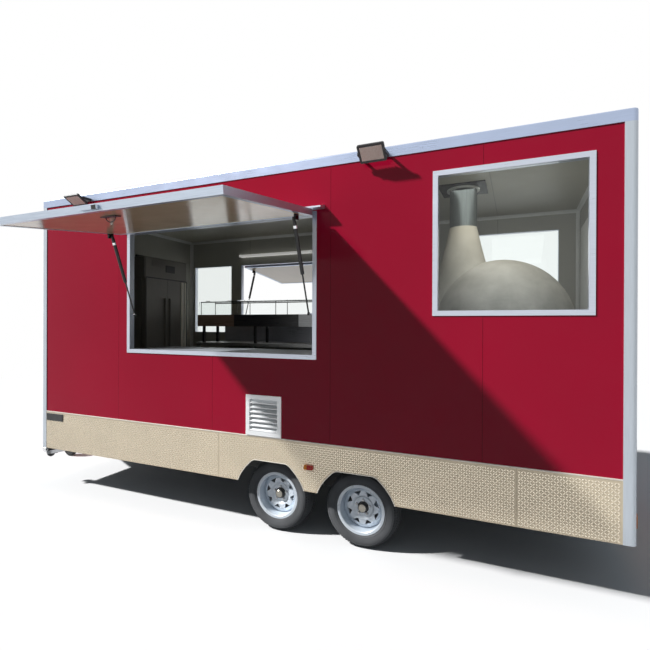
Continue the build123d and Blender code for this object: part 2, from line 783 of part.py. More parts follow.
# Entry door in the rear wall, with its knuckles and handle
with BuildPart() as entry_door:
    leaf_y = (door_y[0] + door_gap, door_y[1] - door_gap)
    leaf_z = (door_z[0] + door_gap, door_z[1] - door_gap)
    with BuildSketch(Plane.YZ.offset(rear_x - shell)):
        with Locations(door_centre):
            RectangleRounded(door_width - 2 * door_gap, door_height - 2 * door_gap, door_corner - door_gap)
    extrude(amount=shell)
    door_axis_y = door_y[1] + door_gap / 2 + door_hinge_radius
    for lug_z in (door_z[0] + door_hinge_inset, door_z[1] - door_hinge_inset):
        knuckle_low = lug_z - 2 * door_hinge_radius + hinge_play
        knuckle_high = lug_z + 2 * door_hinge_radius - hinge_play
        knuckle_out = rear_x + door_hinge_proud + door_pin_radius
        block((rear_x, knuckle_out), (leaf_y[1] - door_strap, leaf_y[1]), (knuckle_low, knuckle_high))
        block((rear_x + door_gap, knuckle_out), (leaf_y[1], door_axis_y), (knuckle_low, knuckle_high))
        with BuildSketch(Plane.XY.offset(knuckle_low)):
            with Locations((rear_x + door_hinge_proud, door_axis_y)):
                Circle(door_hinge_radius)
        extrude(amount=knuckle_high - knuckle_low)
        with BuildSketch(Plane.XY.offset(knuckle_low)):
            with Locations((rear_x + door_hinge_proud, door_axis_y)):
                Circle(door_pin_radius + hinge_play)
        extrude(amount=knuckle_high - knuckle_low, mode=Mode.SUBTRACT)
    handle_x = rear_x
    for depth, width, height in (handle_plate, handle_grip):
        handle_middle = leaf_y[0] + handle_from_edge + handle_plate[1] / 2
        with Locations((handle_x, handle_middle, leaf_z[0] + handle_above_sill)):
            Box(depth, width, height, align=(Align.MIN, Align.CENTER, Align.CENTER))
        handle_x = handle_x + depth
save(entry_door, "entry_door")

# Flood lamps on the near roof rail and inside on the rear wall: finned housing on a bracket, lens apart
flood_z = roof_top - flood_below_roof
inner_flood_place = (rear_x - shell, -side_y + inner_flood_from_near_side, skirt_z + inner_flood_height)
flood_mounts = [Plane(origin=inner_flood_place, x_dir=(0, -1, 0), z_dir=(-1, 0, 0))]
flood_aims = [(0.0, inner_flood_tilt)]
for lamp_x, drop, tilt in flood_places:
    place = (front_x + lamp_x, -side_y, flood_z)
    flood_mounts.append(Plane(origin=place, x_dir=(1, 0, 0), z_dir=(0, -1, 0)))
    flood_aims.append((drop, tilt))
flood_faces = [
    Plane(
        origin=mount.origin + mount.z_dir * flood_out - Vector(0, 0, drop),
        x_dir=mount.x_dir,
        z_dir=mount.z_dir * cos(radians(tilt)) - Vector(0, 0, sin(radians(tilt))),
    )
    for mount, (drop, tilt) in zip(flood_mounts, flood_aims)
]
with BuildPart() as flood_lamps:
    for mount, face_plane in zip(flood_mounts, flood_faces):
        with BuildSketch(face_plane):
            RectangleRounded(flood_width, flood_height, flood_height / 12)
        extrude(amount=-flood_depth)
        with BuildSketch(face_plane):
            Rectangle(flood_width - 2 * flood_border, flood_height - 2 * flood_border)
        extrude(amount=-flood_lens_depth, mode=Mode.SUBTRACT)
        for n in range(flood_fins):
            fin_x = (n - (flood_fins - 1) / 2) * flood_width / (flood_fins + 1)
            with BuildSketch(face_plane.offset(-flood_depth)):
                with Locations((fin_x, 0)):
                    Rectangle(flood_fin[0], flood_fin[1])
            extrude(amount=-flood_fin[2])
        with BuildSketch(mount):
            with Locations((-(flood_width + flood_arm) / 2, 0), ((flood_width + flood_arm) / 2, 0)):
                Rectangle(flood_arm, flood_bracket)
        extrude(amount=flood_out + flood_arm_reach)
        with BuildSketch(mount):
            Rectangle(flood_width + 2 * flood_arm, flood_bracket)
        extrude(amount=flood_back_plate)
save(flood_lamps, "flood_lamps")
lens_inset = flood_border + glass_play
with BuildPart() as flood_lenses:
    for face_plane in flood_faces:
        with BuildSketch(face_plane):
            Rectangle(flood_width - 2 * lens_inset, flood_height - 2 * lens_inset)
        extrude(amount=-flood_lens_depth)
save(flood_lenses, "flood_lenses")

# Side markers between the wheels and tail lamps at the rear
with BuildPart() as lamps:
    for side in (-1, 1):
        face_y = wall_y + skirt_thickness
        with BuildSketch(side_plane(side, face_y)):
            with Locations((front_x + marker_from_front, skirt_z + marker_height)):
                RectangleRounded(marker_size[0], marker_size[2], marker_size[2] / 4)
        extrude(amount=-side * marker_size[1])
        lamp_y = side * (side_y - tail_lamp_inset - tail_lamp_size[1] / 2)
        with BuildSketch(Plane.YZ.offset(rear_x - trim_proud + skirt_thickness)):
            with Locations((lamp_y, skirt_z + tail_lamp_height)):
                RectangleRounded(tail_lamp_size[1], tail_lamp_size[2], tail_lamp_size[2] / 6)
        extrude(amount=tail_lamp_size[0] + trim_proud - skirt_thickness)
save(lamps, "lamps")

# Power inlet and outlet covers on the front wall
with BuildPart() as power_inlet:
    inlet_y = -side_y + inlet_from_side
    for offset, width, height in inlet_covers:
        with BuildSketch(Plane.YZ.offset(front_x + trim_proud)):
            with Locations((inlet_y, skirt_z + inlet_height + offset)):
                RectangleRounded(width, height, inlet_corner)
        extrude(amount=-inlet_depth)
save(power_inlet, "power_inlet")

# Chassis: main rails with the spring hangers, and edge rails interrupted by the wheels
spring_base = axle_z + axle_beam / 2
eye_z = spring_base + spring_pack_height / 2 + spring_rise
hanger_low = eye_z - hanger_below_eye
hanger_half = spring_width / 2 + hinge_play
equaliser_half = axle_spacing / 2 - spring_half_length
axle_mid_x = (axle_xs[0] + axle_xs[1]) / 2
# Hangers: middle, half length at the eyes, eye offsets from the middle
hangers = (
    (axle_xs[0] - spring_half_length, hanger_half_length, (0.0,)),
    (axle_mid_x, equaliser_half + hanger_half_length, (-equaliser_half, equaliser_half)),
    (axle_xs[1] + spring_half_length, hanger_half_length, (0.0,)),
)
with BuildPart() as chassis_rails:
    for side in (-1, 1):
        rail_y = sorted(side * (main_rail_offset + n * main_rail_width / 2) for n in (-1, 1))
        block((front_x + trim_proud, rear_x - trim_proud), rail_y, (main_bottom, main_top))
        edge_y = sorted((side * inner_y, side * wall_y))
        block((front_x + post_width, well_start), edge_y, (cross_bottom, cross_top))
        block((well_end, rear_x - post_width), edge_y, (cross_bottom, cross_top))
        for hanger_x, half_length, eyes in hangers:
            for hand in (-1, 1):
                plate_y = side * main_rail_offset + hand * (hanger_half + hanger_thickness / 2)
                with BuildSketch(Plane.XZ.offset(-plate_y - hanger_thickness / 2)):
                    with BuildLine():
                        Polyline(
                            (hanger_x - half_length - hanger_flare, main_bottom + hanger_weld),
                            (hanger_x - half_length - hanger_flare, main_bottom),
                            (hanger_x - half_length, hanger_low),
                            (hanger_x + half_length, hanger_low),
                            (hanger_x + half_length + hanger_flare, main_bottom),
                            (hanger_x + half_length + hanger_flare, main_bottom + hanger_weld),
                            close=True,
                        )
                    make_face()
                extrude(amount=hanger_thickness)
            for eye in eyes:
                with BuildSketch(Plane.XZ.offset(-side * main_rail_offset - hanger_half)):
                    with Locations((hanger_x + eye, eye_z)):
                        Circle(eye_pin_radius)
                extrude(amount=2 * hanger_half)
save(chassis_rails, "chassis_rails")

# Cross members over the main rails, shortened between the wheel boxes, and the front beam
cross_inset = shell - cross_member_size / 2
cross_count = ceil((body_length - 2 * cross_inset) / cross_member_pitch)
cross_step = (body_length - 2 * cross_inset) / cross_count
with BuildPart() as cross_members:
    for n in range(cross_count + 1):
        cross_x = front_x + cross_inset + n * cross_step
        beside_wheels = well_start - cross_member_size < cross_x < well_end + cross_member_size
        at_post = n in (0, cross_count)
        half = well_inner_y if beside_wheels else side_y - post_width if at_post else inner_y
        cross_x_range = (cross_x - cross_member_size / 2, cross_x + cross_member_size / 2)
        block(cross_x_range, (-half, half), (cross_bottom, cross_top))
    beam_half = main_rail_offset - main_rail_width / 2
    beam_x = front_x + trim_proud
    block((beam_x, beam_x + main_rail_width), (-beam_half, beam_half), (main_bottom, main_top))
save(cross_members, "cross_members")

# Drawbar: two arms that run from the front beam to the coupling
nose_end = nose_x + drawbar_nose_setback
with BuildPart() as drawbar_arms:
    with BuildSketch(Plane.XY.offset(main_bottom)):
        for side in (-1, 1):
            with BuildLine():
                Polyline(
                    (front_x + trim_proud, side * (drawbar_width_at_body / 2 - main_rail_width / 2)),
                    (front_x + trim_proud, side * (drawbar_width_at_body / 2 + main_rail_width / 2)),
                    (nose_end, side * (drawbar_nose_gap / 2 + main_rail_width)),
                    (nose_end, side * drawbar_nose_gap / 2),
                    close=True,
                )
            make_face()
    extrude(amount=main_rail_height)
save(drawbar_arms, "drawbar_arms")

# Ball coupling on the drawbar's nose, with a blind socket from below
socket_x = nose_x + coupling_width / 2
socket_mouth = main_top - coupling_height / 2
with BuildPart() as tow_coupling:
    with BuildSketch(Plane.XZ.offset(-coupling_width / 2)):
        with BuildLine():
            Polyline(
                (nose_x, socket_mouth),
                (nose_end - coupling_gap, socket_mouth),
                (nose_end - coupling_gap, main_top),
                (nose_end + coupling_length, main_top),
                (nose_end + coupling_length, main_top + coupling_plate),
                (nose_x + coupling_length, main_top + coupling_plate),
                (nose_x + coupling_length - coupling_slope, main_top + coupling_height / 2),
                (nose_x, main_top + coupling_height / 2),
                close=True,
            )
        make_face()
    extrude(amount=coupling_width)
    nose_edges = tow_coupling.edges().filter_by(Axis.Z).group_by(Axis.X)[0]
    fillet(nose_edges, radius=coupling_nose_radius)
    with BuildSketch(Plane.XY.offset(socket_mouth)):
        with Locations((socket_x, 0)):
            Circle(ball_socket_radius)
    extrude(amount=ball_socket_depth, mode=Mode.SUBTRACT)
    with Locations((socket_x + lever_start, 0, main_top + coupling_height / 2)):
        Box(*lever_size, align=(Align.MIN, Align.CENTER, Align.MIN))
save(tow_coupling, "tow_coupling")

# Jockey wheel: outer tube clamped to the near arm, fork that swivels in it, wheel on its pin
jockey_x = nose_x + jockey_from_nose
arm_run = front_x + trim_proud - nose_end
arm_slope = (drawbar_width_at_body / 2 - drawbar_nose_gap / 2 - main_rail_width / 2) / arm_run
arm_outer_y = drawbar_nose_gap / 2 + main_rail_width + (jockey_x - nose_end) * arm_slope
jockey_y = -(arm_outer_y + clamp_room + jockey_tube_radius)
with BuildPart() as jockey_tube:
    with BuildSketch(Plane.XY.offset(jockey_tube_bottom)):
        with Locations((jockey_x, jockey_y)):
            Circle(jockey_tube_radius)
    extrude(amount=jockey_tube_height)
    with BuildSketch(Plane.XY.offset(main_bottom + clamp_inset)):
        with BuildLine():
            Polyline(
                (jockey_x - clamp_half_width, jockey_y),
                (jockey_x + clamp_half_width, jockey_y),
                (jockey_x + clamp_half_width, -arm_outer_y - clamp_half_width * arm_slope),
                (jockey_x - clamp_half_width, -arm_outer_y + clamp_half_width * arm_slope),
                close=True,
            )
        make_face()
    extrude(amount=main_rail_height - 2 * clamp_inset)
    with BuildSketch(Plane.XY.offset(jockey_tube_bottom)):
        with Locations((jockey_x, jockey_y)):
            Circle(jockey_stem_radius + hinge_play)
    extrude(amount=jockey_tube_height - clamp_room, mode=Mode.SUBTRACT)
    crank_z = jockey_tube_bottom + jockey_tube_height
    crank_x = (jockey_x - crank_reach - crank_bar[0] / 2, jockey_x + crank_bar[0] / 2)
    crank_y = (jockey_y - crank_bar[1] / 2, jockey_y + crank_bar[1] / 2)
    block(crank_x, crank_y, (crank_z, crank_z + crank_bar[2]))
    with Locations((jockey_x - crank_reach, jockey_y, crank_z + crank_bar[2])):
        Cylinder(crank_grip_radius, crank_grip_length, align=(Align.CENTER, Align.CENTER, Align.MIN))
save(jockey_tube, "jockey_tube")

jockey_axle_x = jockey_x + jockey_trail
fork_half = jockey_wheel_width / 2 + fork_side_gap
fork_top = 2 * jockey_wheel_radius + fork_top_gap
with BuildPart() as jockey_fork:
    with BuildSketch(Plane.XY.offset(fork_top)):
        with Locations((jockey_x, jockey_y)):
            Circle(jockey_stem_radius)
    extrude(amount=jockey_tube_bottom + jockey_tube_height - stem_short_of_top - fork_top)
    block(
        (jockey_x - fork_lead, jockey_axle_x + fork_tail),
        (jockey_y - fork_half - fork_plate, jockey_y + fork_half + fork_plate),
        (fork_top, fork_top + fork_plate),
    )
    for hand in (-1, 1):
        plate_y = jockey_y + hand * (fork_half + fork_plate / 2)
        with BuildSketch(Plane.XZ.offset(-plate_y - fork_plate / 2)):
            with BuildLine():
                Polyline(
                    (jockey_x - fork_lead, fork_top),
                    (jockey_axle_x + fork_tail, fork_top),
                    (jockey_axle_x + fork_foot_half, jockey_wheel_radius - fork_below_axle),
                    (jockey_axle_x - fork_foot_half, jockey_wheel_radius - fork_below_axle),
                    close=True,
                )
            make_face()
        extrude(amount=fork_plate)
    with BuildSketch(Plane.XZ.offset(-jockey_y - fork_half - fork_plate)):
        with Locations((jockey_axle_x, jockey_wheel_radius)):
            Circle(jockey_pin_radius)
    extrude(amount=2 * (fork_half + fork_plate))
save(jockey_fork, "jockey_fork")

with BuildPart() as jockey_wheel:
    with BuildSketch(Plane(origin=(jockey_axle_x, jockey_y, jockey_wheel_radius))):
        half = jockey_wheel_width / 2
        bore = jockey_pin_radius + hinge_play
        one_side = [(bore, -half)] + [(radius, inset - half) for radius, inset in jockey_outline]
        other_side = [(radius, -across) for radius, across in reversed(one_side)]
        with BuildLine():
            Polyline(*one_side, *other_side, close=True)
        make_face()
    revolve(axis=Axis((jockey_axle_x, jockey_y, jockey_wheel_radius), (0, 1, 0)))
save(jockey_wheel, "jockey_wheel")

# Corner steadies under the front corners: a channel on the edge rail and a leg that swings down
steady_y = wall_y - steady_side_gap - steady_foot_size / 2
steady_x = front_x + steady_from_front
steady_z = cross_bottom - steady_leg_width - steady_pin_below
cheek_y = steady_leg_width / 2 + hinge_play + steady_cheek / 2
with BuildPart() as steady_brackets:
    for side in (-1, 1):
        channel_x = (front_x + post_width + steady_channel_start, steady_x + steady_cheek_half)
        channel_half = cheek_y + steady_cheek / 2
        channel_y = (side * steady_y - channel_half, side * steady_y + channel_half)
        block(channel_x, channel_y, (cross_bottom - steady_cheek, cross_bottom))
        for hand in (-1, 1):
            plate_y = side * steady_y + hand * cheek_y
            block(
                (steady_x - steady_cheek_half, steady_x + steady_cheek_half),
                (plate_y - steady_cheek / 2, plate_y + steady_cheek / 2),
                (steady_z - steady_cheek_below, cross_bottom),
            )
        with BuildSketch(Plane.XZ.offset(-side * steady_y - steady_leg_width / 2 - hinge_play)):
            with Locations((steady_x, steady_z)):
                Circle(steady_pin_radius)
        extrude(amount=steady_leg_width + 2 * hinge_play)
save(steady_brackets, "steady_brackets")

for name, side, _ in sides:
    drop = radians(steady_rest_drop)
    leg_plane = Plane(
        origin=(steady_x, side * steady_y, steady_z),
        x_dir=(0, 1, 0),
        z_dir=(-cos(drop), 0, -sin(drop)),
    )
    with BuildPart() as steady_leg:
        with BuildSketch(leg_plane):
            Rectangle(steady_leg_width, steady_leg_depth)
        extrude(amount=steady_leg_length)
        with BuildSketch(Plane.XZ.offset(-side * steady_y - steady_leg_width / 2)):
            with Locations((steady_x, steady_z)):
                Circle(steady_leg_depth / 2)
        extrude(amount=steady_leg_width)
        with BuildSketch(Plane.XZ.offset(-side * steady_y - steady_leg_width / 2)):
            with Locations((steady_x, steady_z)):
                Circle(steady_pin_radius + hinge_play)
        extrude(amount=steady_leg_width, mode=Mode.SUBTRACT)
        with BuildSketch(leg_plane.offset(steady_leg_length)):
            Circle(steady_foot_size / 2)
        extrude(amount=steady_foot_plate)
    save(steady_leg, f"{name}_steady_leg")

# Axles: square beams with a stub at each end
beam_end = wheel_y - tyre_width / 2 - beam_gap
stub_end = wheel_y + stub_past_middle
with BuildPart() as axles:
    for axle_x in axle_xs:
        half = axle_beam / 2
        block((axle_x - half, axle_x + half), (-beam_end, beam_end), (axle_z - half, axle_z + half))
        with BuildSketch(Plane.XZ.offset(-stub_end)):
            with Locations((axle_x, axle_z)):
                Circle(stub_radius)
        extrude(amount=2 * stub_end)
save(axles, "axles")

# Leaf springs: a pack that thins towards its eyes, clamped flat on the axle
with BuildPart() as leaf_springs:
    for side in (-1, 1):
        for axle_x in axle_xs:
            spring_plane = Plane.XZ.offset(-side * main_rail_offset - spring_width / 2)
            with BuildSketch(spring_plane):
                with BuildLine():
                    left = axle_x - spring_half_length
                    right = axle_x + spring_half_length
                    end_top = eye_z + spring_end_height / 2
                    end_low = eye_z - spring_end_height / 2
                    upper = ThreePointArc(
                        (left, end_top), (axle_x, spring_base + spring_pack_height), (right, end_top)
                    )
                    Line(upper @ 1, (right, end_low))
                    lower = ThreePointArc((right, end_low), (axle_x, spring_base), (left, end_low))
                    Line(lower @ 1, upper @ 0)
                make_face()
                clamp_x = (axle_x - spring_clamp_length / 2, axle_x + spring_clamp_length / 2)
                rect(clamp_x, (spring_base, spring_base + spring_pack_height + spring_clamp_rise))
                with Locations((left, eye_z), (right, eye_z)):
                    Circle(spring_eye_radius)
                    Circle(eye_pin_radius + hinge_play, mode=Mode.SUBTRACT)
            extrude(amount=spring_width)
save(leaf_springs, "leaf_springs")

# Road wheels: tyre, and a rim with eight windows on its hub and drum
half_rim = rim_width / 2
wheels = [
    (f"{position}_{name}", axle_x, side, turned)
    for (position, turned), axle_x in zip(wheel_turns.items(), axle_xs)
    for name, side, _ in sides
]
for name, axle_x, side, turned in wheels:
    centre = Vector(axle_x, side * wheel_y, axle_z)
    section = Plane(origin=centre, x_dir=(1, 0, 0), z_dir=(0, 0, side))
    spin = Axis(centre, (0, 1, 0))
    half_tyre = tyre_width / 2
    with BuildPart() as tyre:
        with BuildSketch(section):
            with BuildLine():
                bead = half_rim - bead_play
                foot = rim_flange_radius + bead_play
                bulge = foot + tyre_bulge_share * (tyre_radius - foot)
                shoulder = (tyre_radius - tyre_shoulder_drop, half_tyre - tyre_shoulder_inset)
                crown = (tyre_radius - tyre_crown_drop, half_tyre - tyre_crown_inset)
                Polyline((foot, -bead), (tyre_bore_radius, -bead), (tyre_bore_radius, bead), (foot, bead))
                for hand in (-1, 1):
                    shoulder_point = (shoulder[0], hand * shoulder[1])
                    ThreePointArc((foot, hand * bead), (bulge, hand * half_tyre), shoulder_point)
                    Line(shoulder_point, (crown[0], hand * crown[1]))
                ThreePointArc(crown, (tyre_radius, 0), (crown[0], -crown[1]))
            make_face()
        revolve(axis=spin)
    save(tyre, f"{name}_tyre")

    barrel = tyre_bore_radius - bead_play
    with BuildPart() as wheel:
        with BuildSketch(section):
            rect((barrel - rim_sheet, barrel), (-half_rim, half_rim))
            for hand in (-1, 1):
                lip = sorted((hand * half_rim, hand * (half_rim + rim_lip)))
                rect((barrel - rim_sheet, rim_flange_radius), lip)
            lip_edge = half_rim + rim_lip
            with BuildLine():
                Polyline(
                    (barrel - rim_sheet, lip_edge),
                    (barrel - rim_sheet + rim_lip_bevel, lip_edge),
                    (barrel - rim_sheet, lip_edge - rim_lip_bevel),
                    close=True,
                )
            make_face(mode=Mode.SUBTRACT)
            for outline in (disc_outline, hub_outline):
                with BuildLine():
                    Polyline(*outline, close=True)
                make_face()
        revolve(axis=spin)
        window_plane = Plane(origin=centre, x_dir=(1, 0, 0), z_dir=(0, side, 0))
        with BuildSketch(window_plane.offset(wheel_window_from_middle)):
            with PolarLocations(wheel_window_radius, wheel_window_count, start_angle=turned):
                Polygon(
                    (wheel_window_depth / 2, wheel_window_base / 2),
                    (wheel_window_depth / 2, -wheel_window_base / 2),
                    (-wheel_window_depth / 2, 0),
                    align=None,
                )
        extrude(amount=half_rim, mode=Mode.SUBTRACT)
    save(wheel, f"{name}_wheel")

# Oven: stand with a hearth slab, domed shell with its mouth, flue through the roof
oven_x = rear_x - oven_from_rear
oven_y = oven_off_middle
hearth_z = skirt_z + hearth_height
slab_x = (flue_x - oven_neck_base_radius - hearth_margin, oven_x + oven_radius + hearth_margin)
slab_y = (oven_y - oven_radius - hearth_margin, oven_y + oven_radius + hearth_margin)


def edges(y_range, leg):
    """Where the rows of legs start along both edges of a slab."""
    return (y_range[0], y_range[1] - leg)


def legged(x_range, y_range, z_range, slab, leg, count, leg_ys):
    """A slab on rows of square legs, which stand a seat gap below it."""
    block(x_range, y_range, (z_range[1] - slab, z_range[1]))
    leg_step = (x_range[1] - x_range[0] - leg) / (count - 1)
    for n in range(count):
        leg_x = x_range[0] + n * leg_step
        for leg_y in leg_ys:
            leg_z = (z_range[0], z_range[1] - slab - seat_gap)
            block((leg_x, leg_x + leg), (leg_y, leg_y + leg), leg_z)


def shelf_between(x_range, y_range, leg, low, thickness):
    """A shelf held between the two rows of legs."""
    block(x_range, (y_range[0] + leg + seat_gap, y_range[1] - leg - seat_gap), (low, low + thickness))


with BuildPart() as oven_stand:
    stand_y = (slab_y[0] + stand_leg_inset, slab_y[1] - stand_leg_inset)
    stand_z = (floor_top, hearth_z)
    legged(slab_x, slab_y, stand_z, hearth_slab, stand_leg, 2, edges(stand_y, stand_leg))
    shelf_between(slab_x, stand_y, stand_leg, floor_top + stand_shelf_height, stand_shelf_thickness)
save(oven_stand, "oven_stand")

with BuildPart() as oven_dome:
    dome_plane = Plane(origin=(oven_x, oven_y, hearth_z), x_dir=(1, 0, 0), z_dir=(0, -1, 0))
    dome_axis = Axis((oven_x, oven_y, hearth_z), (0, 0, 1))
    with BuildSketch(dome_plane):
        with BuildLine():
            springing = oven_height - oven_radius
            Polyline((0, oven_height), (0, 0), (oven_radius, 0), (oven_radius, springing))
            TangentArc((oven_radius, springing), (0, oven_height), tangent=(0, 1))
        make_face()
    revolve(axis=dome_axis)
    neck_plane = Plane(origin=(flue_x, flue_y, skirt_z), x_dir=(1, 0, 0), z_dir=(0, -1, 0))
    with BuildSketch(neck_plane):
        with BuildLine():
            base = (oven_neck_base_radius, hearth_height)
            mouth = (flue_radius, oven_neck_top)
            Polyline(mouth, (0, oven_neck_top), (0, hearth_height), base)
            ThreePointArc(base, (oven_neck_waist_radius, oven_neck_waist_height), mouth)
        make_face()
    revolve(axis=Axis((flue_x, flue_y, 0), (0, 0, 1)))
    with BuildSketch(dome_plane):
        with BuildLine():
            inner_radius = oven_radius - oven_shell
            Polyline((0, inner_radius + springing), (0, 0), (inner_radius, 0), (inner_radius, springing))
            TangentArc((inner_radius, springing), (0, inner_radius + springing), tangent=(0, 1))
        make_face()
    revolve(axis=dome_axis, mode=Mode.SUBTRACT)
    with BuildSketch(Plane.YZ.offset(slab_x[0])):
        with BuildLine():
            jamb = oven_mouth_width / 2
            jamb_top = hearth_z + oven_mouth_jamb
            left, right = oven_y - jamb, oven_y + jamb
            Polyline((left, jamb_top), (left, hearth_z), (right, hearth_z), (right, jamb_top))
            ThreePointArc((right, jamb_top), (oven_y, hearth_z + oven_mouth_height), (left, jamb_top))
        make_face()
    extrude(amount=oven_x - slab_x[0], mode=Mode.SUBTRACT)
save(oven_dome, "oven_dome")

with BuildPart() as oven_flue:
    flue_base = skirt_z + oven_neck_top
    with BuildSketch(Plane.XY.offset(flue_base)):
        with Locations((flue_x, flue_y)):
            Circle(flue_radius)
    extrude(amount=roof_top + flue_rise - flue_base)
    with BuildSketch(Plane.XY.offset(ceiling_z - flue_plate_thickness)):
        with Locations((flue_x, flue_y)):
            Rectangle(flue_plate, flue_plate)
    extrude(amount=flue_plate_thickness)
    with BuildSketch(Plane.XY.offset(ceiling_z - flue_plate_thickness)):
        with Locations((flue_x, flue_y)):
            Circle(flue_collar_radius)
    extrude(amount=-flue_collar_height)
    with BuildSketch(Plane.XY.offset(roof_top)):
        with Locations((flue_x, flue_y)):
            Circle(flue_cap_radius)
    extrude(amount=flue_plate_thickness)
    with BuildSketch(Plane.XZ.offset(-flue_y)):
        with BuildLine():
            cap_top = roof_top + flue_rise
            cap_low = cap_top - flue_cap_depth
            cap_edge = flue_x + flue_cap_radius
            Polyline(
                (flue_x, cap_low), (cap_edge, cap_low), (cap_edge, cap_low + flue_cap_rim), (flue_x, cap_top),
                close=True,
            )
        make_face()
    revolve(axis=Axis((flue_x, flue_y, 0), (0, 0, 1)))
save(oven_flue, "oven_flue")

# Fridge against the front wall, its doors facing the rear
fridge_x = (front_x + shell, front_x + shell + fridge_depth)
bench_y = (inner_y - bench_depth, inner_y)
fridge_y = (bench_y[0] - fridge_from_bench - fridge_width, bench_y[0] - fridge_from_bench)
fridge_z = (floor_top + fridge_foot, floor_top + fridge_height)
with BuildPart() as fridge:
    block(fridge_x, fridge_y, fridge_z)
    for foot_x in (fridge_x[0] + fridge_foot_inset, fridge_x[1] - fridge_foot_inset):
        for foot_y in (fridge_y[0] + fridge_foot_inset, fridge_y[1] - fridge_foot_inset):
            with Locations((foot_x, foot_y, floor_top)):
                Cylinder(fridge_foot_radius, fridge_foot, align=(Align.CENTER, Align.CENTER, Align.MIN))
    seal_x = fridge_x[1] - fridge_door_thickness
    seal_y = (fridge_y[0], fridge_y[0] + fridge_groove_depth)
    block((seal_x - fridge_groove, seal_x), seal_y, fridge_z, mode=Mode.SUBTRACT)
    mid_y = (fridge_y[0] + fridge_y[1]) / 2
    meeting_y = (mid_y - fridge_groove / 2, mid_y + fridge_groove / 2)
    block((seal_x, fridge_x[1]), meeting_y, fridge_z, mode=Mode.SUBTRACT)
    for hand in (-1, 1):
        handle_y = mid_y + hand * fridge_handle_from_middle
        with Locations((fridge_x[1], handle_y, floor_top + fridge_handle_height)):
            Box(*fridge_handle, align=(Align.MIN, Align.CENTER, Align.MIN))
save(fridge, "fridge")

# Serving counter inside the near hatch
near_clear = opening(*framed["near_hatch"][1:], frame_face)
counter_top = near_clear[1][0]
with BuildPart() as near_counter:
    counter_y = (-inner_y, -inner_y + counter_depth)
    counter_z = (floor_top, counter_top)
    aisle_edge = edges(counter_y, counter_leg)[1:]
    legged(near_clear[0], counter_y, counter_z, counter_thickness, counter_leg, 3, aisle_edge)
save(near_counter, "near_counter")

# Bench along the far wall, and the refrigerated display that stands on it on short legs
bench_x = (front_x + bench_start, front_x + bench_start + bench_length)
display_y = (bench_y[0] + display_inset, bench_y[0] + display_inset + display_depth)
bench_top = floor_top + bench_height
display_z = (floor_top + display_base, floor_top + display_base + display_height)
with BuildPart() as prep_bench:
    bench_z = (floor_top, bench_top)
    legged(bench_x, bench_y, bench_z, counter_thickness, counter_leg, 3, edges(bench_y, counter_leg))
    shelf_between(bench_x, bench_y, counter_leg, floor_top + bench_shelf_height, bench_shelf_thickness)
save(prep_bench, "prep_bench")

with BuildPart() as display_cabinet:
    foot_x = (bench_x[0] + display_leg_from_end, bench_x[1] - display_leg_from_end)
    foot_y = (display_y[0] + display_leg_from_side, display_y[1] - display_leg_from_side)
    block(bench_x, display_y, display_z)
    for leg_x in (foot_x[0], (foot_x[0] + foot_x[1]) / 2, foot_x[1]):
        for leg_y in foot_y:
            with Locations((leg_x, leg_y, bench_top)):
                leg_height = display_z[0] - seat_gap - bench_top
                Box(display_leg, display_leg, leg_height, align=(Align.CENTER, Align.CENTER, Align.MIN))
save(display_cabinet, "display_cabinet")

with BuildPart() as display_glass:
    with BuildSketch(Plane.YZ.offset(bench_x[0])):
        with BuildLine():
            low, high = display_z[1], display_z[1] + display_glass_height
            pane = display_glass_thickness
            bend = display_y[0] + display_glass_slope
            Polyline(
                (display_y[0], low), (bend, high), (display_y[1], high), (display_y[1], high - pane),
                (bend + pane, high - pane), (display_y[0] + pane, low), close=True,
            )
        make_face()
    extrude(amount=bench_length)
save(display_glass, "display_glass")
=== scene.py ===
import math

import bmesh
import bpy
from mathutils import Matrix, Vector


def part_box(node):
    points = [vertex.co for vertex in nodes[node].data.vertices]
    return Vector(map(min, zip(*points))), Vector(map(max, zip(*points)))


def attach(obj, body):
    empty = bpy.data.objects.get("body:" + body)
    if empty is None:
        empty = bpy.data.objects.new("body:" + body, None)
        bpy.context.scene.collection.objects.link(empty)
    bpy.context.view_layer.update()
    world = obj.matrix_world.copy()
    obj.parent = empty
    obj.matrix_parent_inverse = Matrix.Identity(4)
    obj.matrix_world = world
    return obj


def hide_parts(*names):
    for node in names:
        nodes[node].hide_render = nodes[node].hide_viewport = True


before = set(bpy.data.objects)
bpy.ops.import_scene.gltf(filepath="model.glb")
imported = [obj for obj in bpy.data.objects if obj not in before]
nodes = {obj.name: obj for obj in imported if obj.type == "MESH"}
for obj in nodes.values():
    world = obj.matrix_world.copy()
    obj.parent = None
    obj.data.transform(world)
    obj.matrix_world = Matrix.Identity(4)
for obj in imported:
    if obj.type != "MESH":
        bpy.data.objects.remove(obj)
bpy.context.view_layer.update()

scene = bpy.context.scene


def middle(name, axis):
    """Middle of a CAD node's box along an axis."""
    low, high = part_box(name)
    return (low[axis] + high[axis]) / 2


# Levels of the trailer in metres, read from the CAD nodes
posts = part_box("corner_posts")
front_x, rear_x = posts[0][0], posts[1][0]
side_y, skirt_z = posts[1][1], posts[0][2]
roof_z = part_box("roof_rails")[1][2]
ceiling_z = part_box("roof_panel")[0][2]
floor_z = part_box("floor_panel")[1][2]
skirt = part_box("skirt_plates")
skirt_y, skirt_top = skirt[1][1], skirt[1][2]
inner_y = -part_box("near_wall")[1][1]
SIDES = ((-1, "near"), (1, "far"))
WHEELS = [f"{end}_{side}" for end in ("front", "rear") for side in ("near", "far")]
AXLES = [middle(f"{end}_near_tyre", 0) for end in ("front", "rear")]

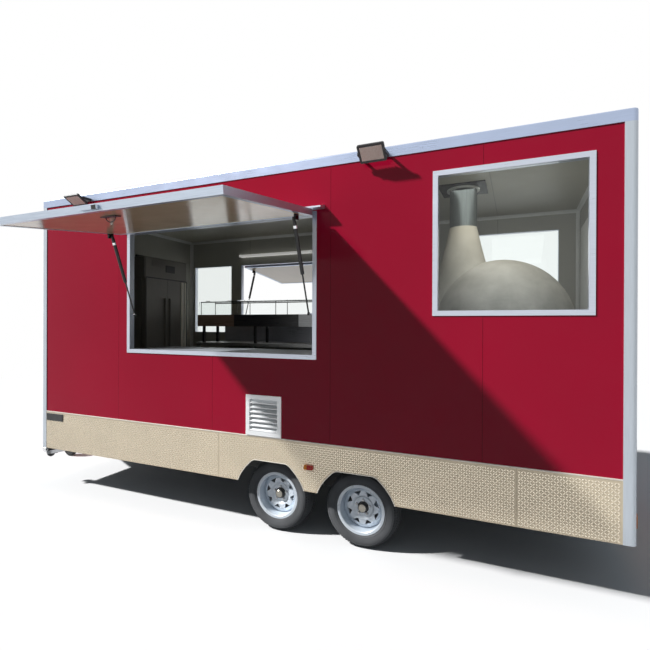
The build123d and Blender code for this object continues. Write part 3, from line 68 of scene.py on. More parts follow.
# Places on the CAD model that looks and pieces share: hatch angle in degrees, the rest in metres
HATCH_DROP, HINGE_Y, HINGE_Z = 7.1, 1.266, 2.642
MARKER_X, MARKER_Z = 1.140, 0.606
SHEET_JOINTS = (0.264, 2.664)
PANEL_PITCH, SEAM_HALF = 1.128, 0.0014
drop = math.radians(HATCH_DROP)


def srgb(red, green, blue):
    """Linear colour of an sRGB triple given from 0 to 255."""
    def one(value):
        value = value / 255
        return value / 12.92 if value <= 0.04045 else ((value + 0.055) / 1.055) ** 2.4
    return (one(red), one(green), one(blue), 1.0)


def shade(base, factor):
    """The colour made darker or lighter."""
    return tuple(min(1.0, c * factor) for c in base[:3]) + (1.0,)


class Look:
    """A node material with one Principled shader and small helpers to feed it."""

    def __init__(self, name, rough=0.4, metal=0.0, **settings):
        self.mat = bpy.data.materials.new(name)
        self.mat.use_nodes = True
        self.tree = self.mat.node_tree
        self.shader = self.tree.nodes["Principled BSDF"]
        self.shader.inputs["Roughness"].default_value = rough
        self.shader.inputs["Metallic"].default_value = metal
        for key, value in settings.items():
            self.shader.inputs[key.replace("_", " ")].default_value = value
        self.place = self.node("ShaderNodeTexCoord").outputs["Object"]

    def node(self, kind, **settings):
        made = self.tree.nodes.new(kind)
        for key, value in settings.items():
            setattr(made, key, value)
        return made

    def link(self, source, target):
        self.tree.links.new(source, target)

    def feed(self, target, value):
        if hasattr(value, "is_output"):
            self.link(value, target)
        else:
            target.default_value = value

    def math(self, operation, first, second=0.0):
        made = self.node("ShaderNodeMath", operation=operation)
        self.feed(made.inputs[0], first)
        self.feed(made.inputs[1], second)
        return made.outputs[0]

    def more(self, value, limit):
        return self.math("GREATER_THAN", value, limit)

    def less(self, value, limit):
        return self.math("LESS_THAN", value, limit)

    def both(self, first, second):
        return self.math("MULTIPLY", first, second)

    def off(self, value, centre):
        """How far a value lies from a centre, either way."""
        return self.math("ABSOLUTE", self.math("SUBTRACT", value, centre))

    def radius(self, first, second):
        squares = [self.both(side, side) for side in (first, second)]
        return self.math("SQRT", self.math("ADD", *squares))

    def axis(self, index):
        made = self.node("ShaderNodeSeparateXYZ")
        self.link(self.place, made.inputs[0])
        return made.outputs[index]

    def noise(self, scale, detail=3.0, rough=0.55, vector=None):
        made = self.node("ShaderNodeTexNoise")
        self.link(vector or self.place, made.inputs["Vector"])
        made.inputs["Scale"].default_value = scale
        made.inputs["Detail"].default_value = detail
        made.inputs["Roughness"].default_value = rough
        return made.outputs[0]

    def streak(self, along, scale=4.0, fine=90.0, coarse=1.5):
        """Noise that is long along one axis, like the grain of drawn metal."""
        made = self.node("ShaderNodeMapping")
        self.link(self.place, made.inputs["Vector"])
        made.inputs["Scale"].default_value = [coarse if n == along else fine for n in range(3)]
        return self.noise(scale, vector=made.outputs[0])

    def between(self, value, low, high, to_low=0.0, to_high=1.0):
        made = self.node("ShaderNodeMapRange")
        self.feed(made.inputs[0], value)
        for slot, number in zip((1, 2, 3, 4), (low, high, to_low, to_high)):
            made.inputs[slot].default_value = number
        return made.outputs[0]

    def soft(self, value, to_low=0.0, to_high=1.0):
        """The middle range of a noise, spread from one number to the other."""
        return self.between(value, 0.3, 0.7, to_low, to_high)

    def wide(self, value, to_low, to_high):
        """A wider range of a noise, spread from one number to the other."""
        return self.between(value, 0.25, 0.75, to_low, to_high)

    def mix(self, factor, first, second):
        made = self.node("ShaderNodeMix", data_type="RGBA", blend_type="MIX")
        self.feed(made.inputs[0], factor)
        self.feed(made.inputs[6], first)
        self.feed(made.inputs[7], second)
        return made.outputs[2]

    def varied(self, base, spread=0.12, scale=2.0):
        """The base colour, a little lighter and darker in soft patches."""
        return self.mix(self.soft(self.noise(scale)), shade(base, 1 - spread), shade(base, 1 + spread))

    def colour(self, value):
        self.feed(self.shader.inputs["Base Color"], value)

    def roughness(self, value):
        self.feed(self.shader.inputs["Roughness"], value)

    def metallic(self, value):
        self.feed(self.shader.inputs["Metallic"], value)

    def bump(self, height, strength, distance):
        made = self.node("ShaderNodeBump")
        made.inputs["Strength"].default_value = strength
        made.inputs["Distance"].default_value = distance
        self.link(height, made.inputs["Height"])
        self.link(made.outputs[0], self.shader.inputs["Normal"])


# Plain and drawn finishes

PLAIN = {  # sRGB colour, roughness, metal, colour spread, scale of the patches, scale of the grain, bump
    # The bars are lighter than the sheet they are rolled from: a painted highlight for their glints
    "checker_bars": ((238, 227, 206), 0.22, 0.75, 0.03, 2.0, 420.0, 0.05),
    "chrome": ((226, 228, 230), 0.14, 1.0, 0.04, 20.0, 300.0, 0.03),
    "pale_trim": ((226, 221, 210), 0.4, 0.3, 0.04, 4.0, 300.0, 0.05),
    "galvanised_steel": ((150, 152, 153), 0.5, 0.9, 0.2, 14.0, 260.0, 0.08),
    # Galvanised steel darkened as painted shade, for the chassis under the body
    "galvanised_painted_shade": ((52, 52, 53), 0.62, 0.4, 0.25, 10.0, 260.0, 0.12),
    "zinc_steel": ((168, 170, 172), 0.36, 1.0, 0.12, 9.0, 300.0, 0.06),
    "dark_steel": ((26, 26, 28), 0.62, 0.0, 0.25, 8.0, 320.0, 0.15),
    "black_metal": ((22, 22, 24), 0.4, 0.0, 0.2, 6.0, 420.0, 0.08),
    # Near-black wheel boxes: painted shade inside the arches
    "arch_painted_shade": ((11, 11, 12), 0.8, 0.0, 0.25, 8.0, 320.0, 0.15),
    "dark_plastic": ((40, 41, 43), 0.55, 0.0, 0.15, 10.0, 700.0, 0.2),
    "white_plastic": ((232, 233, 230), 0.4, 0.0, 0.03, 8.0, 500.0, 0.05),
    "vent_enamel": ((250, 252, 253), 0.42, 0.3, 0.02, 8.0, 500.0, 0.05),
    # Lamp tube glass with a faint glow, a painted highlight for the reflection along it
    "tube_glass_painted_highlight": ((240, 240, 236), 0.3, 0.0, 0.03, 8.0, 500.0, 0.05),
    "pale_strip": ((255, 250, 236), 0.5, 0.0, 0.02, 8.0, 500.0, 0.05),
    "floor_vinyl": ((104, 104, 106), 0.6, 0.0, 0.35, 260.0, 600.0, 0.2),
    "tyre_rubber": ((104, 105, 107), 0.72, 0.0, 0.2, 5.0, 260.0, 0.25),
    "black_rubber": ((38, 38, 39), 0.7, 0.0, 0.2, 9.0, 300.0, 0.2),
}
EXTRA = {  # further settings of the shader
    # The tube's faint glow is a painted highlight standing in for a reflection, not the lamp lit
    "tube_glass_painted_highlight": {"Emission_Color": (1, 1, 0.96, 1), "Emission_Strength": 0.3},
    "tyre_rubber": {"Specular_IOR_Level": 0.06},
}
DRAWN = {  # sRGB colour, roughness, axis along the grain, colour spread, metal
    "satin_aluminium": ((202, 208, 220), 0.34, 0, 0.06, 0.7),
    "rail_aluminium": ((176, 189, 214), 0.32, 0, 0.04, 0.7),
    "counter_steel": ((172, 178, 186), 0.4, 0, 0.06, 0.35),
    "splash_steel": ((176, 178, 186), 0.34, 0, 0.06, 0.5),
    "post_aluminium": ((194, 202, 210), 0.36, 2, 0.06, 0.6),
    "stainless": ((168, 169, 168), 0.3, 0, 0.08, 1.0),
}
CRIMSON = srgb(170, 16, 50)
CREAM, CREAM_SEAM = srgb(236, 216, 178), srgb(120, 116, 104)
INSIDE, INSIDE_SEAM = srgb(182, 181, 173), srgb(92, 91, 84)
DOOR_INSIDE = srgb(232, 231, 226)
BLACK = srgb(20, 20, 22)


def plain(name, tone, rough, metal, spread, scale, grain, bump):
    """A surface with patchy colour, patchy roughness and a fine grain."""
    look = Look(name, rough, metal, **EXTRA.get(name, {}))
    look.colour(look.varied(srgb(*tone), spread, scale))
    look.roughness(look.wide(look.noise(scale * 4, 4.0), rough * 0.8, min(1.0, rough * 1.2)))
    look.bump(look.noise(grain, 2.0), bump, 0.0006)
    return look.mat


def drawn(name, tone, rough, along, spread, metal):
    """Metal drawn along one axis."""
    look = Look(name, rough, metal)
    streak = look.streak(along)
    base = srgb(*tone)
    look.colour(look.mix(look.soft(streak), shade(base, 1 - spread), shade(base, 1 + spread)))
    patches = look.math("ADD", streak, look.noise(2.5, 4.0))
    look.roughness(look.between(patches, 0.7, 1.3, rough * 0.75, rough * 1.25))
    look.bump(streak, 0.1, 0.0004)
    return look.mat


# Walls, roof and hatches

# Depth of the pale lining in a side wall, and of the crimson skin in an end wall
LINING, END_LINING = 0.02, 0.035
# Behind the rear wall the finish is black; below the floor the wall's inside and cut edges are painted
# black as shade in the wheel arches
FITTINGS_OUT, SHADE_BELOW_FLOOR = 0.004, 0.01
# Below the hatch's plane its inside starts, and further down its strut brackets
SKIN_DEPTH, BRACKET_DEPTH = 0.006, 0.047
LATCH_FROM, LATCH_OFF_MIDDLE, LATCH_HALF = 1.166, 0.05, 0.02


def inside_mask(look):
    """1 on the cabin side of the wall panels."""
    within = look.less(look.math("ABSOLUTE", look.axis(1)), inner_y + LINING)
    ahead = look.more(look.axis(0), front_x + END_LINING)
    return look.both(look.both(within, ahead), look.less(look.axis(0), rear_x - END_LINING))


def painted(look):
    """Crimson paint in soft patches."""
    cloud = look.between(look.noise(0.7, 2.0), 0.35, 0.65)
    return look.mix(cloud, shade(CRIMSON, 0.95), shade(CRIMSON, 1.04))


def panel_joints(look, pitch=PANEL_PITCH):
    """1 on thin lines across the length, a pitch apart from the front."""
    from_front = look.math("SUBTRACT", look.axis(0), front_x)
    share = look.math("FRACT", look.math("ADD", look.math("DIVIDE", from_front, pitch), 0.5))
    return look.less(look.off(share, 0.5), SEAM_HALF / pitch)


def ripple(look, detail):
    """Slight waves and a fine grain, as in painted sheet."""
    fine = look.both(look.noise(160.0, detail), 0.02)
    look.bump(look.math("ADD", look.noise(1.6, 1.0), fine), 0.05, 0.004)


def wall_look(name, inside):
    """Crimson outside with dark joints between the side panels, pale inside."""
    look = Look(name, 0.12, 0.0, Specular_IOR_Level=0.1)
    mask, line = inside_mask(look), panel_joints(look)
    at_side = look.more(look.math("ABSOLUTE", look.axis(1)), inner_y + LINING)
    outer = look.mix(look.both(line, at_side), painted(look), shade(CRIMSON, 0.35))
    outer = look.mix(look.more(look.axis(0), rear_x + FITTINGS_OUT), outer, BLACK)
    inner = look.mix(line, look.varied(inside, 0.04, 1.5), INSIDE_SEAM)
    # Below the floor the inside turns black: painted shade where the wheel arches cut the wall
    inner = look.mix(look.less(look.axis(2), floor_z - SHADE_BELOW_FLOOR), inner, BLACK)
    look.colour(look.mix(mask, outer, inner))
    ripple(look, 2.0)
    look.roughness(look.mix(mask, look.soft(look.noise(6.0), 0.07, 0.16), (0.42, 0.42, 0.42, 1)))
    return look.mat


def roof_look():
    """White roof outside, and a darker ceiling with the same joints as the walls."""
    look = Look("ceiling_panel", 0.45)
    outside = look.more(look.axis(2), ceiling_z + LINING)
    ceiling = look.varied(srgb(184, 181, 167), 0.03, 1.5)
    base = look.mix(outside, ceiling, look.varied(srgb(214, 212, 203), 0.03, 1.5))
    look.colour(look.mix(panel_joints(look), base, INSIDE_SEAM))
    look.roughness(look.wide(look.noise(6.0, 4.0), 0.36, 0.54))
    look.bump(look.noise(120.0, 2.0), 0.03, 0.0006)
    return look.mat


def hatch_depth(look, side):
    """Distances from the hinge along the open hatch, and above its plane."""
    out = look.math("SUBTRACT", look.both(look.axis(1), side), HINGE_Y)
    level = look.math("SUBTRACT", look.axis(2), HINGE_Z)
    along = look.math("SUBTRACT", look.both(out, math.cos(drop)), look.both(level, math.sin(drop)))
    return along, look.math("ADD", look.both(level, math.cos(drop)), look.both(out, math.sin(drop)))


def hatch_look(name, side):
    """Crimson outside, cream inside, and black strut brackets."""
    look = Look(f"{name}_hatch_skin", 0.12, 0.0, Specular_IOR_Level=0.4)
    above = hatch_depth(look, side)[1]
    seam = look.both(panel_joints(look, PANEL_PITCH / 2), 0.3)
    cream = look.mix(seam, look.varied(CREAM, 0.05, 1.2), CREAM_SEAM)
    base = look.mix(look.less(above, -SKIN_DEPTH), painted(look), cream)
    look.colour(look.mix(look.less(above, -BRACKET_DEPTH), base, BLACK))
    ripple(look, 3.0)
    look.roughness(look.soft(look.noise(6.0), 0.12, 0.2))
    return look.mat


def edging_look(name, side):
    """Satin aluminium channel with a black latch at its front."""
    look = Look(f"{name}_hatch_edge", 0.34, 0.0)
    catch = look.off(look.axis(0), middle(f"{name}_hatch_panel", 0) + LATCH_OFF_MIDDLE)
    latch = look.both(look.more(hatch_depth(look, side)[0], LATCH_FROM), look.less(catch, LATCH_HALF))
    streak = look.streak(0)
    metal = look.mix(look.soft(streak), srgb(184, 195, 209), srgb(204, 214, 227))
    look.colour(look.mix(latch, metal, BLACK))
    look.metallic(look.math("SUBTRACT", 0.75, look.both(latch, 0.75)))
    look.roughness(look.soft(streak, 0.28, 0.42))
    look.bump(streak, 0.1, 0.0004)
    return look.mat


# Skirt, wheels, lamps and glass

# Radius of the hub cap, and the radius out to which a black ring is painted round it as the cap's shadow
HUB_RADIUS, CAP_SHADOW_RADIUS = 0.0305, 0.046
LENS_SPLIT = MARKER_X - 0.012
TAIL_DEPTH, TAIL_CLEAR_TO, TAIL_AMBER_FROM = 0.05, 0.905, 0.985
OBSCURE_LENGTH, OBSCURE_DEPTH = 1.0, 0.1  # the far side's front window, from the body's front and far face


def checker_look():
    """Rolled sheet with its joints, darker than the bars on it, whose lighter colour is a painted highlight
    for their glints.
    """
    look = Look("checker_plate", 0.4, 0.4)
    base = look.varied(srgb(204, 190, 166), 0.06, 2.0)
    for joint in SHEET_JOINTS:
        base = look.mix(look.less(look.off(look.axis(0), joint), SEAM_HALF / 2), base, srgb(128, 120, 106))
    look.colour(base)
    look.roughness(look.wide(look.noise(9.0, 4.0), 0.34, 0.48))
    look.bump(look.noise(420.0, 2.0), 0.08, 0.0006)
    return look.mat


def wheel_look():
    """Silver paint, a grey hub cap, and a black ring round it painted as the cap's shadow."""
    look = Look("wheel_silver", 0.32)
    off = look.math("SUBTRACT", look.off(look.axis(0), sum(AXLES) / 2), (AXLES[1] - AXLES[0]) / 2)
    rise = look.math("SUBTRACT", look.axis(2), middle("front_near_tyre", 2))
    radius = look.radius(off, rise)
    hub = look.less(radius, HUB_RADIUS)
    # Between the cap and this radius the disc is painted black: a painted shadow of the protruding cap
    base = look.mix(look.less(radius, CAP_SHADOW_RADIUS), look.varied(srgb(222, 230, 238), 0.05, 6.0), BLACK)
    look.colour(look.mix(hub, base, srgb(150, 147, 138)))
    look.metallic(look.between(hub, 0.0, 1.0, 0.12, 0.8))
    look.roughness(look.wide(look.noise(24.0, 4.0), 0.26, 0.38))
    look.bump(look.noise(600.0, 2.0), 0.04, 0.0006)
    return look.mat


def lens_look():
    """Lamps: amber and red halves at the sides, a red, amber and clear row at the tail."""
    look = Look("lamp_lens", 0.15, 0.0, Specular_IOR_Level=0.25)
    amber, red, clear = srgb(250, 146, 28), srgb(224, 22, 14), srgb(224, 220, 214)
    side_row = look.mix(look.more(look.axis(0), LENS_SPLIT), amber, red)
    across = look.math("ABSOLUTE", look.axis(1))
    tail_row = look.mix(look.less(across, TAIL_CLEAR_TO), red, clear)
    tail_row = look.mix(look.more(across, TAIL_AMBER_FROM), tail_row, amber)
    look.colour(look.mix(look.more(look.axis(0), rear_x - TAIL_DEPTH), side_row, tail_row))
    ribs = look.math("SINE", look.both(look.math("ADD", look.axis(0), look.axis(1)), 1400.0))
    look.bump(look.math("ADD", ribs, look.noise(90.0)), 0.3, 0.0012)
    look.roughness(look.soft(look.noise(40.0), 0.1, 0.2))
    return look.mat


def glass_look():
    """Clear glass, obscured in the far side's front window."""
    look = Look("clear_glass", 0.0, 0.0, Transmission_Weight=1.0, IOR=1.3)
    obscure = look.less(look.axis(0), front_x + OBSCURE_LENGTH)
    obscure = look.both(obscure, look.more(look.axis(1), side_y - OBSCURE_DEPTH))
    look.colour(look.mix(obscure, look.varied((0.94, 0.97, 0.96, 1), 0.02, 1.0), (0.86, 0.90, 0.88, 1)))
    look.roughness(look.both(obscure, 0.32))
    look.bump(look.both(look.noise(60.0), obscure), 0.25, 0.002)
    return look.mat


def lamp_glass_look():
    """Warm white glass with fine dots."""
    look = Look("lamp_glass", 0.3, 0.0, Specular_IOR_Level=0.5)
    dots = look.noise(140.0, 2.0)
    look.colour(look.mix(look.between(dots, 0.35, 0.65), srgb(244, 236, 214), srgb(255, 250, 236)))
    look.bump(dots, 0.15, 0.001)
    look.roughness(look.soft(look.noise(30.0), 0.22, 0.4))
    return look.mat


# Fittings in the cabin

NECK_Z = (1.9, 2.6)  # heights between which the oven's render turns warmer
FLUE_COLLAR, FLUE_PLATE, FLUE_BELOW_ROOF = 0.1225, 0.1465, 0.03
# Display front: shares of its length, and its lower edge below the glass
WARM_TO, PALE_FROM, CASE_BELOW_GLASS = 0.33, 0.86, 0.1555


def oven_look():
    """Trowelled render with faint stains."""
    look = Look("oven_render", 0.82)
    stain = look.between(look.noise(3.2, 6.0, 0.62), 0.32, 0.72)
    base = look.mix(stain, srgb(160, 159, 154), srgb(210, 208, 202))
    neck = look.both(look.between(look.axis(2), *NECK_Z), 0.6)
    look.colour(look.mix(neck, base, srgb(206, 194, 166)))
    grit = look.both(look.noise(130.0), 0.25)
    look.bump(look.math("ADD", look.noise(9.0, 5.0, 0.6), grit), 0.35, 0.008)
    look.roughness(look.soft(look.noise(18.0), 0.72, 0.9))
    return look.mat


def flue_look():
    """Steel pipe with a pale collar and a black ceiling plate."""
    look = Look("flue_metal", 0.42)
    streak = look.streak(2, 3.0, 40.0, 1.0)
    steel = look.mix(look.soft(streak), srgb(98, 104, 102), srgb(124, 130, 127))
    radius = look.radius(*(look.off(look.axis(n), middle("oven_flue", n)) for n in (0, 1)))
    inside = look.less(look.axis(2), roof_z - FLUE_BELOW_ROOF)
    collar = look.both(look.more(radius, FLUE_COLLAR), inside)
    plate = look.both(look.more(radius, FLUE_PLATE), inside)
    look.colour(look.mix(plate, look.mix(collar, steel, srgb(222, 222, 216)), BLACK))
    look.metallic(look.both(look.math("SUBTRACT", 1.0, collar), 0.7))
    look.roughness(look.soft(look.noise(9.0), 0.34, 0.52))
    look.bump(streak, 0.08, 0.0006)
    return look.mat


def fridge_look():
    """Dull upright-drawn steel."""
    look = Look("fridge_finish", 0.4, 0.0)
    streak = look.streak(2, fine=60.0)
    look.colour(look.mix(look.soft(streak), srgb(112, 109, 102), srgb(126, 123, 115)))
    look.roughness(look.soft(streak, 0.3, 0.46))
    look.bump(streak, 0.06, 0.0005)
    return look.mat


def display_look():
    """A warm door at the front end, dark glass doors, a pale end panel, and dark legs."""
    look = Look("display_front", 0.3, 0.2)
    low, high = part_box("display_cabinet")
    share = look.between(look.axis(0), low[0], high[0])
    streak = look.streak(0)
    warm = look.mix(look.soft(streak), srgb(150, 122, 106), srgb(164, 136, 118))
    dark = look.mix(look.soft(streak), srgb(46, 46, 48), srgb(56, 56, 58))
    pale = look.mix(look.soft(streak), srgb(206, 208, 210), srgb(218, 220, 222))
    base = look.mix(look.more(share, WARM_TO), warm, dark)
    base = look.mix(look.more(share, PALE_FROM), base, pale)
    legs = look.less(look.axis(2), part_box("display_glass")[0][2] - CASE_BELOW_GLASS)
    look.colour(look.mix(legs, base, dark))
    look.roughness(look.soft(streak, 0.24, 0.36))
    look.bump(streak, 0.06, 0.0005)
    return look.mat


looks = {name: plain(name, *row) for name, row in PLAIN.items()}
looks.update({name: drawn(name, *row) for name, row in DRAWN.items()})
looks.update(
    walls=wall_look("crimson_skin", INSIDE), door=wall_look("door_skin", DOOR_INSIDE), roof=roof_look(),
    checker=checker_look(), wheels=wheel_look(), lenses=lens_look(), glass=glass_look(),
    lamp_glass=lamp_glass_look(), oven=oven_look(), flue=flue_look(), fridge=fridge_look(),
    display=display_look(),
)
for side, name in SIDES:
    looks[f"{name}_hatch"] = hatch_look(name, side)
    looks[f"{name}_edging"] = edging_look(name, side)
WORN_BY = {  # look: the CAD nodes that wear it
    "walls": "near_wall far_wall front_wall rear_wall",
    "door": "entry_door",
    "roof": "roof_panel",
    "near_hatch": "near_hatch_panel",
    "far_hatch": "far_hatch_panel",
    "near_edging": "near_hatch_edging",
    "far_edging": "far_hatch_edging",
    "post_aluminium": "corner_posts",
    "rail_aluminium": "roof_rails",
    "satin_aluminium": "hatch_frames window_frames hinge_rails",
    "checker": "skirt_plates",
    # The wheel boxes are near black as painted shade inside the arches
    "arch_painted_shade": "wheel_boxes",
    "floor_vinyl": "floor_panel",
    "glass": "window_glass display_glass",
    "vent_enamel": "louvre_vent",
    "black_metal": "flood_lamps near_strut_tubes far_strut_tubes near_strut_rods far_strut_rods",
    "lamp_glass": "flood_lenses",
    "lenses": "lamps",
    "dark_plastic": "power_inlet",
    # Chassis under the body wears galvanising darkened as painted shade; the drawbar in the open stays
    # light
    "galvanised_painted_shade": "chassis_rails cross_members axles",
    "galvanised_steel": "drawbar_arms",
    "dark_steel": "leaf_springs oven_stand",
    "zinc_steel": "tow_coupling jockey_tube jockey_fork steady_brackets near_steady_leg far_steady_leg",
    "black_rubber": "jockey_wheel",
    "oven": "oven_dome",
    "flue": "oven_flue",
    "fridge": "fridge",
    "counter_steel": "near_counter",
    "stainless": "prep_bench",
    "display": "display_cabinet",
    "wheels": " ".join(f"{wheel}_wheel" for wheel in WHEELS),
    "tyre_rubber": " ".join(f"{wheel}_tyre" for wheel in WHEELS),
}
dress = {name: look for look, names in WORN_BY.items() for name in names.split()}
for name, made in nodes.items():
    made.data.materials.clear()
    made.data.materials.append(looks[dress[name]])


class Shape:
    """Vertices and faces that grow by small solids and become one piece."""

    def __init__(self):
        self.verts = []
        self.faces = []

    def add(self, verts, faces):
        base = len(self.verts)
        self.verts += [tuple(v) for v in verts]
        self.faces += [tuple(base + i for i in face) for face in faces]

    def lathe(self, origin, axis, outline, count=24, closed=False):
        """Turn (radius, along) points about an axis."""
        axis = Vector(axis).normalized()
        first = axis.orthogonal().normalized()
        second = axis.cross(first)
        origin = Vector(origin)
        verts, faces = [], []
        rows = len(outline)
        for step in range(count):
            turn = 2 * math.pi * step / count
            out = first * math.cos(turn) + second * math.sin(turn)
            verts += [origin + out * radius + axis * along for radius, along in outline]
        for step in range(count):
            here, there = step * rows, (step + 1) % count * rows
            for row in range(rows if closed else rows - 1):
                nxt = (row + 1) % rows
                faces.append((here + row, there + row, there + nxt, here + nxt))
        self.add(verts, faces)

    def sweep(self, stations, outline):
        """Carry a closed outline along stations of (origin, side, up) and cap both ends."""
        rows = len(outline)
        verts, faces = [], []
        for origin, side, up in stations:
            verts += [Vector(origin) + Vector(side) * a + Vector(up) * b for a, b in outline]
        for step in range(len(stations) - 1):
            here, there = step * rows, (step + 1) * rows
            for row in range(rows):
                nxt = (row + 1) % rows
                faces.append((here + row, here + nxt, there + nxt, there + row))
        faces.append(tuple(reversed(range(rows))))
        faces.append(tuple(range(len(verts) - rows, len(verts))))
        self.add(verts, faces)

    def box(self, low, high, bevel):
        """A block with its twelve edges cut at the given width."""
        ends = (Vector(low), Vector(high))
        both = (0, 1)
        corners = [(sx, sy, sz) for sx in both for sy in both for sz in both]
        verts, index, faces = [], {}, []
        for corner in corners:
            for face in range(3):
                index[(*corner, face)] = len(verts)
                inset = [0.0 if i == face else (1 - 2 * s) * bevel for i, s in enumerate(corner)]
                verts.append([ends[s][i] + inset[i] for i, s in enumerate(corner)])
        for face in range(3):
            a, b = [i for i in range(3) if i != face]
            for s in both:
                ring = []
                for u, v in ((0, 0), (1, 0), (1, 1), (0, 1)):
                    key = [0, 0, 0]
                    key[face], key[a], key[b] = s, u, v
                    ring.append(index[(*key, face)])
                faces.append(tuple(ring))
        for edge in range(3):
            a, b = [i for i in range(3) if i != edge]
            for u in both:
                for v in both:
                    key = [0, 0, 0]
                    key[a], key[b] = u, v
                    other = list(key)
                    other[edge] = 1
                    quad = ((*key, a), (*key, b), (*other, b), (*other, a))
                    faces.append(tuple(index[spot] for spot in quad))
        faces += [tuple(index[(*corner, face)] for face in range(3)) for corner in corners]
        self.add(verts, faces)

    def piece(self, name, body, look, smooth=False):
        """Make the mesh, hang it on its body, and turn its faces outwards."""
        mesh = bpy.data.meshes.new(name)
        mesh.from_pydata(self.verts, [], self.faces)
        mesh.update()
        mesh.materials.append(looks[look])
        mesh.polygons.foreach_set("use_smooth", [smooth] * len(mesh.polygons))
        made = bpy.data.objects.new(name, mesh)
        scene.collection.objects.link(made)
        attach(made, body)
        work = bmesh.new()
        work.from_mesh(mesh)
        bmesh.ops.recalc_face_normals(work, faces=work.faces)
        work.to_mesh(mesh)
        work.free()
        return made


# Raised bars of the checker plate

ARCH_SHIFT, ARCH_BASE, ARCH_TOP, ARCH_RISE = -0.018, 0.625, 0.322, 0.192
ARCH_BOW, ARCH_CORNER, ARCH_ROOM = 0.0204, 0.08, 0.014
BAR_PITCH, BAR_HALF, BAR_SIDE, BAR_RISE, BAR_CREST = 0.0175, 0.0108, 0.0038, 0.0026, 0.45
# The bars start above the skirt's bottom, fall short of its height and stay clear of its ends
BARS_FROM, BARS_SHORT, BARS_INSET = 0.008, 0.01, 0.08
DIAGONAL = 0.7071
JOINT_HALF, MARKER_ROOM = 0.010, (0.05, 0.03)
BLANK_PLATE = ((front_x + 0.085, skirt_z + 0.300), (front_x + 0.337, skirt_z + 0.376))
ARM_Y, ARM_ROOM, ARM_TOP = 0.6, 0.05, 0.53
TAIL_LAMP_Y, TAIL_LAMP_TOP = (0.83, 1.08), 0.58
DOOR, DOOR_ROOM, DOOR_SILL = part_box("entry_door"), 0.055, 0.05


def arch_half(share):
    """Half the arch's width at a share of its height; the flanks bow outwards."""
    share = min(max(share, 0.0), 1.0)
    return (ARCH_BASE + (ARCH_TOP - ARCH_BASE) * share) / 2 + ARCH_BOW * 4 * share * (1 - share)


def in_arch(x, z):
    level = z - skirt_z
    half = arch_half(level / ARCH_RISE) + ARCH_ROOM
    return level < ARCH_RISE + ARCH_ROOM and any(abs(x - axle - ARCH_SHIFT) < half for axle in AXLES)


def arch_edge(steps=14):
    """Points of one arch's edge about its middle: flank, rounded corner, and the same mirrored."""
    lean = math.atan2(ARCH_RISE, (ARCH_BASE - ARCH_TOP) / 2 + ARCH_BOW * 4)
    reach = ARCH_CORNER * math.tan(lean / 2)
    turn_from = 1 - reach * math.sin(lean) / ARCH_RISE
    half = [(-arch_half(turn_from * n / steps), ARCH_RISE * turn_from * n / steps) for n in range(steps)]
    centre = (-ARCH_TOP / 2 + reach, ARCH_RISE - ARCH_CORNER)
    for n in range(steps // 2 + 1):
        angle = lean * (1 - 2 * n / steps)
        half.append((centre[0] - ARCH_CORNER * math.sin(angle), centre[1] + ARCH_CORNER * math.cos(angle)))
    return half + [(-x, z) for x, z in reversed(half)]


def checker_bars(name, span, place, blocked):
    """Rows of lens-shaped bars whose direction alternates like a chessboard."""
    shape = Shape()
    columns = int((span[1] - span[0]) / BAR_PITCH)
    rows = int((skirt_top - skirt_z - BARS_SHORT) / BAR_PITCH)
    for i in range(columns):
        u = span[0] + (i + 0.5) * BAR_PITCH
        for j in range(rows):
            z = skirt_z + BARS_FROM + (j + 0.5) * BAR_PITCH
            if blocked(u, z):
                continue
            lean = 1 if (i + j) % 2 else -1
            mid = Vector((u, z))
            along = Vector((DIAGONAL, DIAGONAL * lean)) * BAR_HALF
            over = Vector((-DIAGONAL * lean, DIAGONAL)) * BAR_SIDE
            flat = [mid - along, mid - over, mid + along, mid + over]
            crest = [mid - along * BAR_CREST, mid + along * BAR_CREST]
            verts = [place(p.x, p.y, 0.0) for p in flat] + [place(p.x, p.y, BAR_RISE) for p in crest]
            shape.add(verts, [(0, 1, 4), (1, 5, 4), (1, 2, 5), (2, 3, 5), (3, 4, 5), (3, 0, 4)])
    shape.piece(name, "trailer", "checker_bars", smooth=True)


def side_blocked(side):
    """Test for places without bars on a side: arches, joints, marker lamp and the near side's plate."""
    (low_x, low_z), (high_x, high_z) = BLANK_PLATE

    def blocked(x, z):
        at_joint = any(abs(x - joint) < JOINT_HALF for joint in SHEET_JOINTS)
        at_marker = abs(x - MARKER_X) < MARKER_ROOM[0] and abs(z - MARKER_Z) < MARKER_ROOM[1]
        at_plate = side < 0 and low_x < x < high_x and low_z < z < high_z
        return in_arch(x, z) or at_joint or at_marker or at_plate
    return blocked


def front_blocked(y, z):
    return abs(abs(y) - ARM_Y) < ARM_ROOM and z < ARM_TOP


def rear_blocked(y, z):
    lamp = TAIL_LAMP_Y[0] < abs(y) < TAIL_LAMP_Y[1] and z < TAIL_LAMP_TOP
    door = DOOR[0][1] - DOOR_ROOM < y < DOOR[1][1] + DOOR_ROOM and z > floor_z - DOOR_SILL
    return lamp or door


long_span = (front_x + BARS_INSET, rear_x - BARS_INSET)
end_span = (-side_y + BARS_INSET, side_y - BARS_INSET)
for side, name in SIDES:
    checker_bars(f"{name}_skirt_bars", long_span, lambda u, z, out, s=side: (u, s * (skirt_y + out), z),
                 side_blocked(side))
checker_bars("front_skirt_bars", end_span, lambda u, z, out: (skirt[0][0] - out, u, z), front_blocked)
checker_bars("rear_skirt_bars", end_span, lambda u, z, out: (skirt[1][0] + out, u, z), rear_blocked)

# Trim on the skirt: a pale strip along its top, an edge round each arch, and a bare dark plate

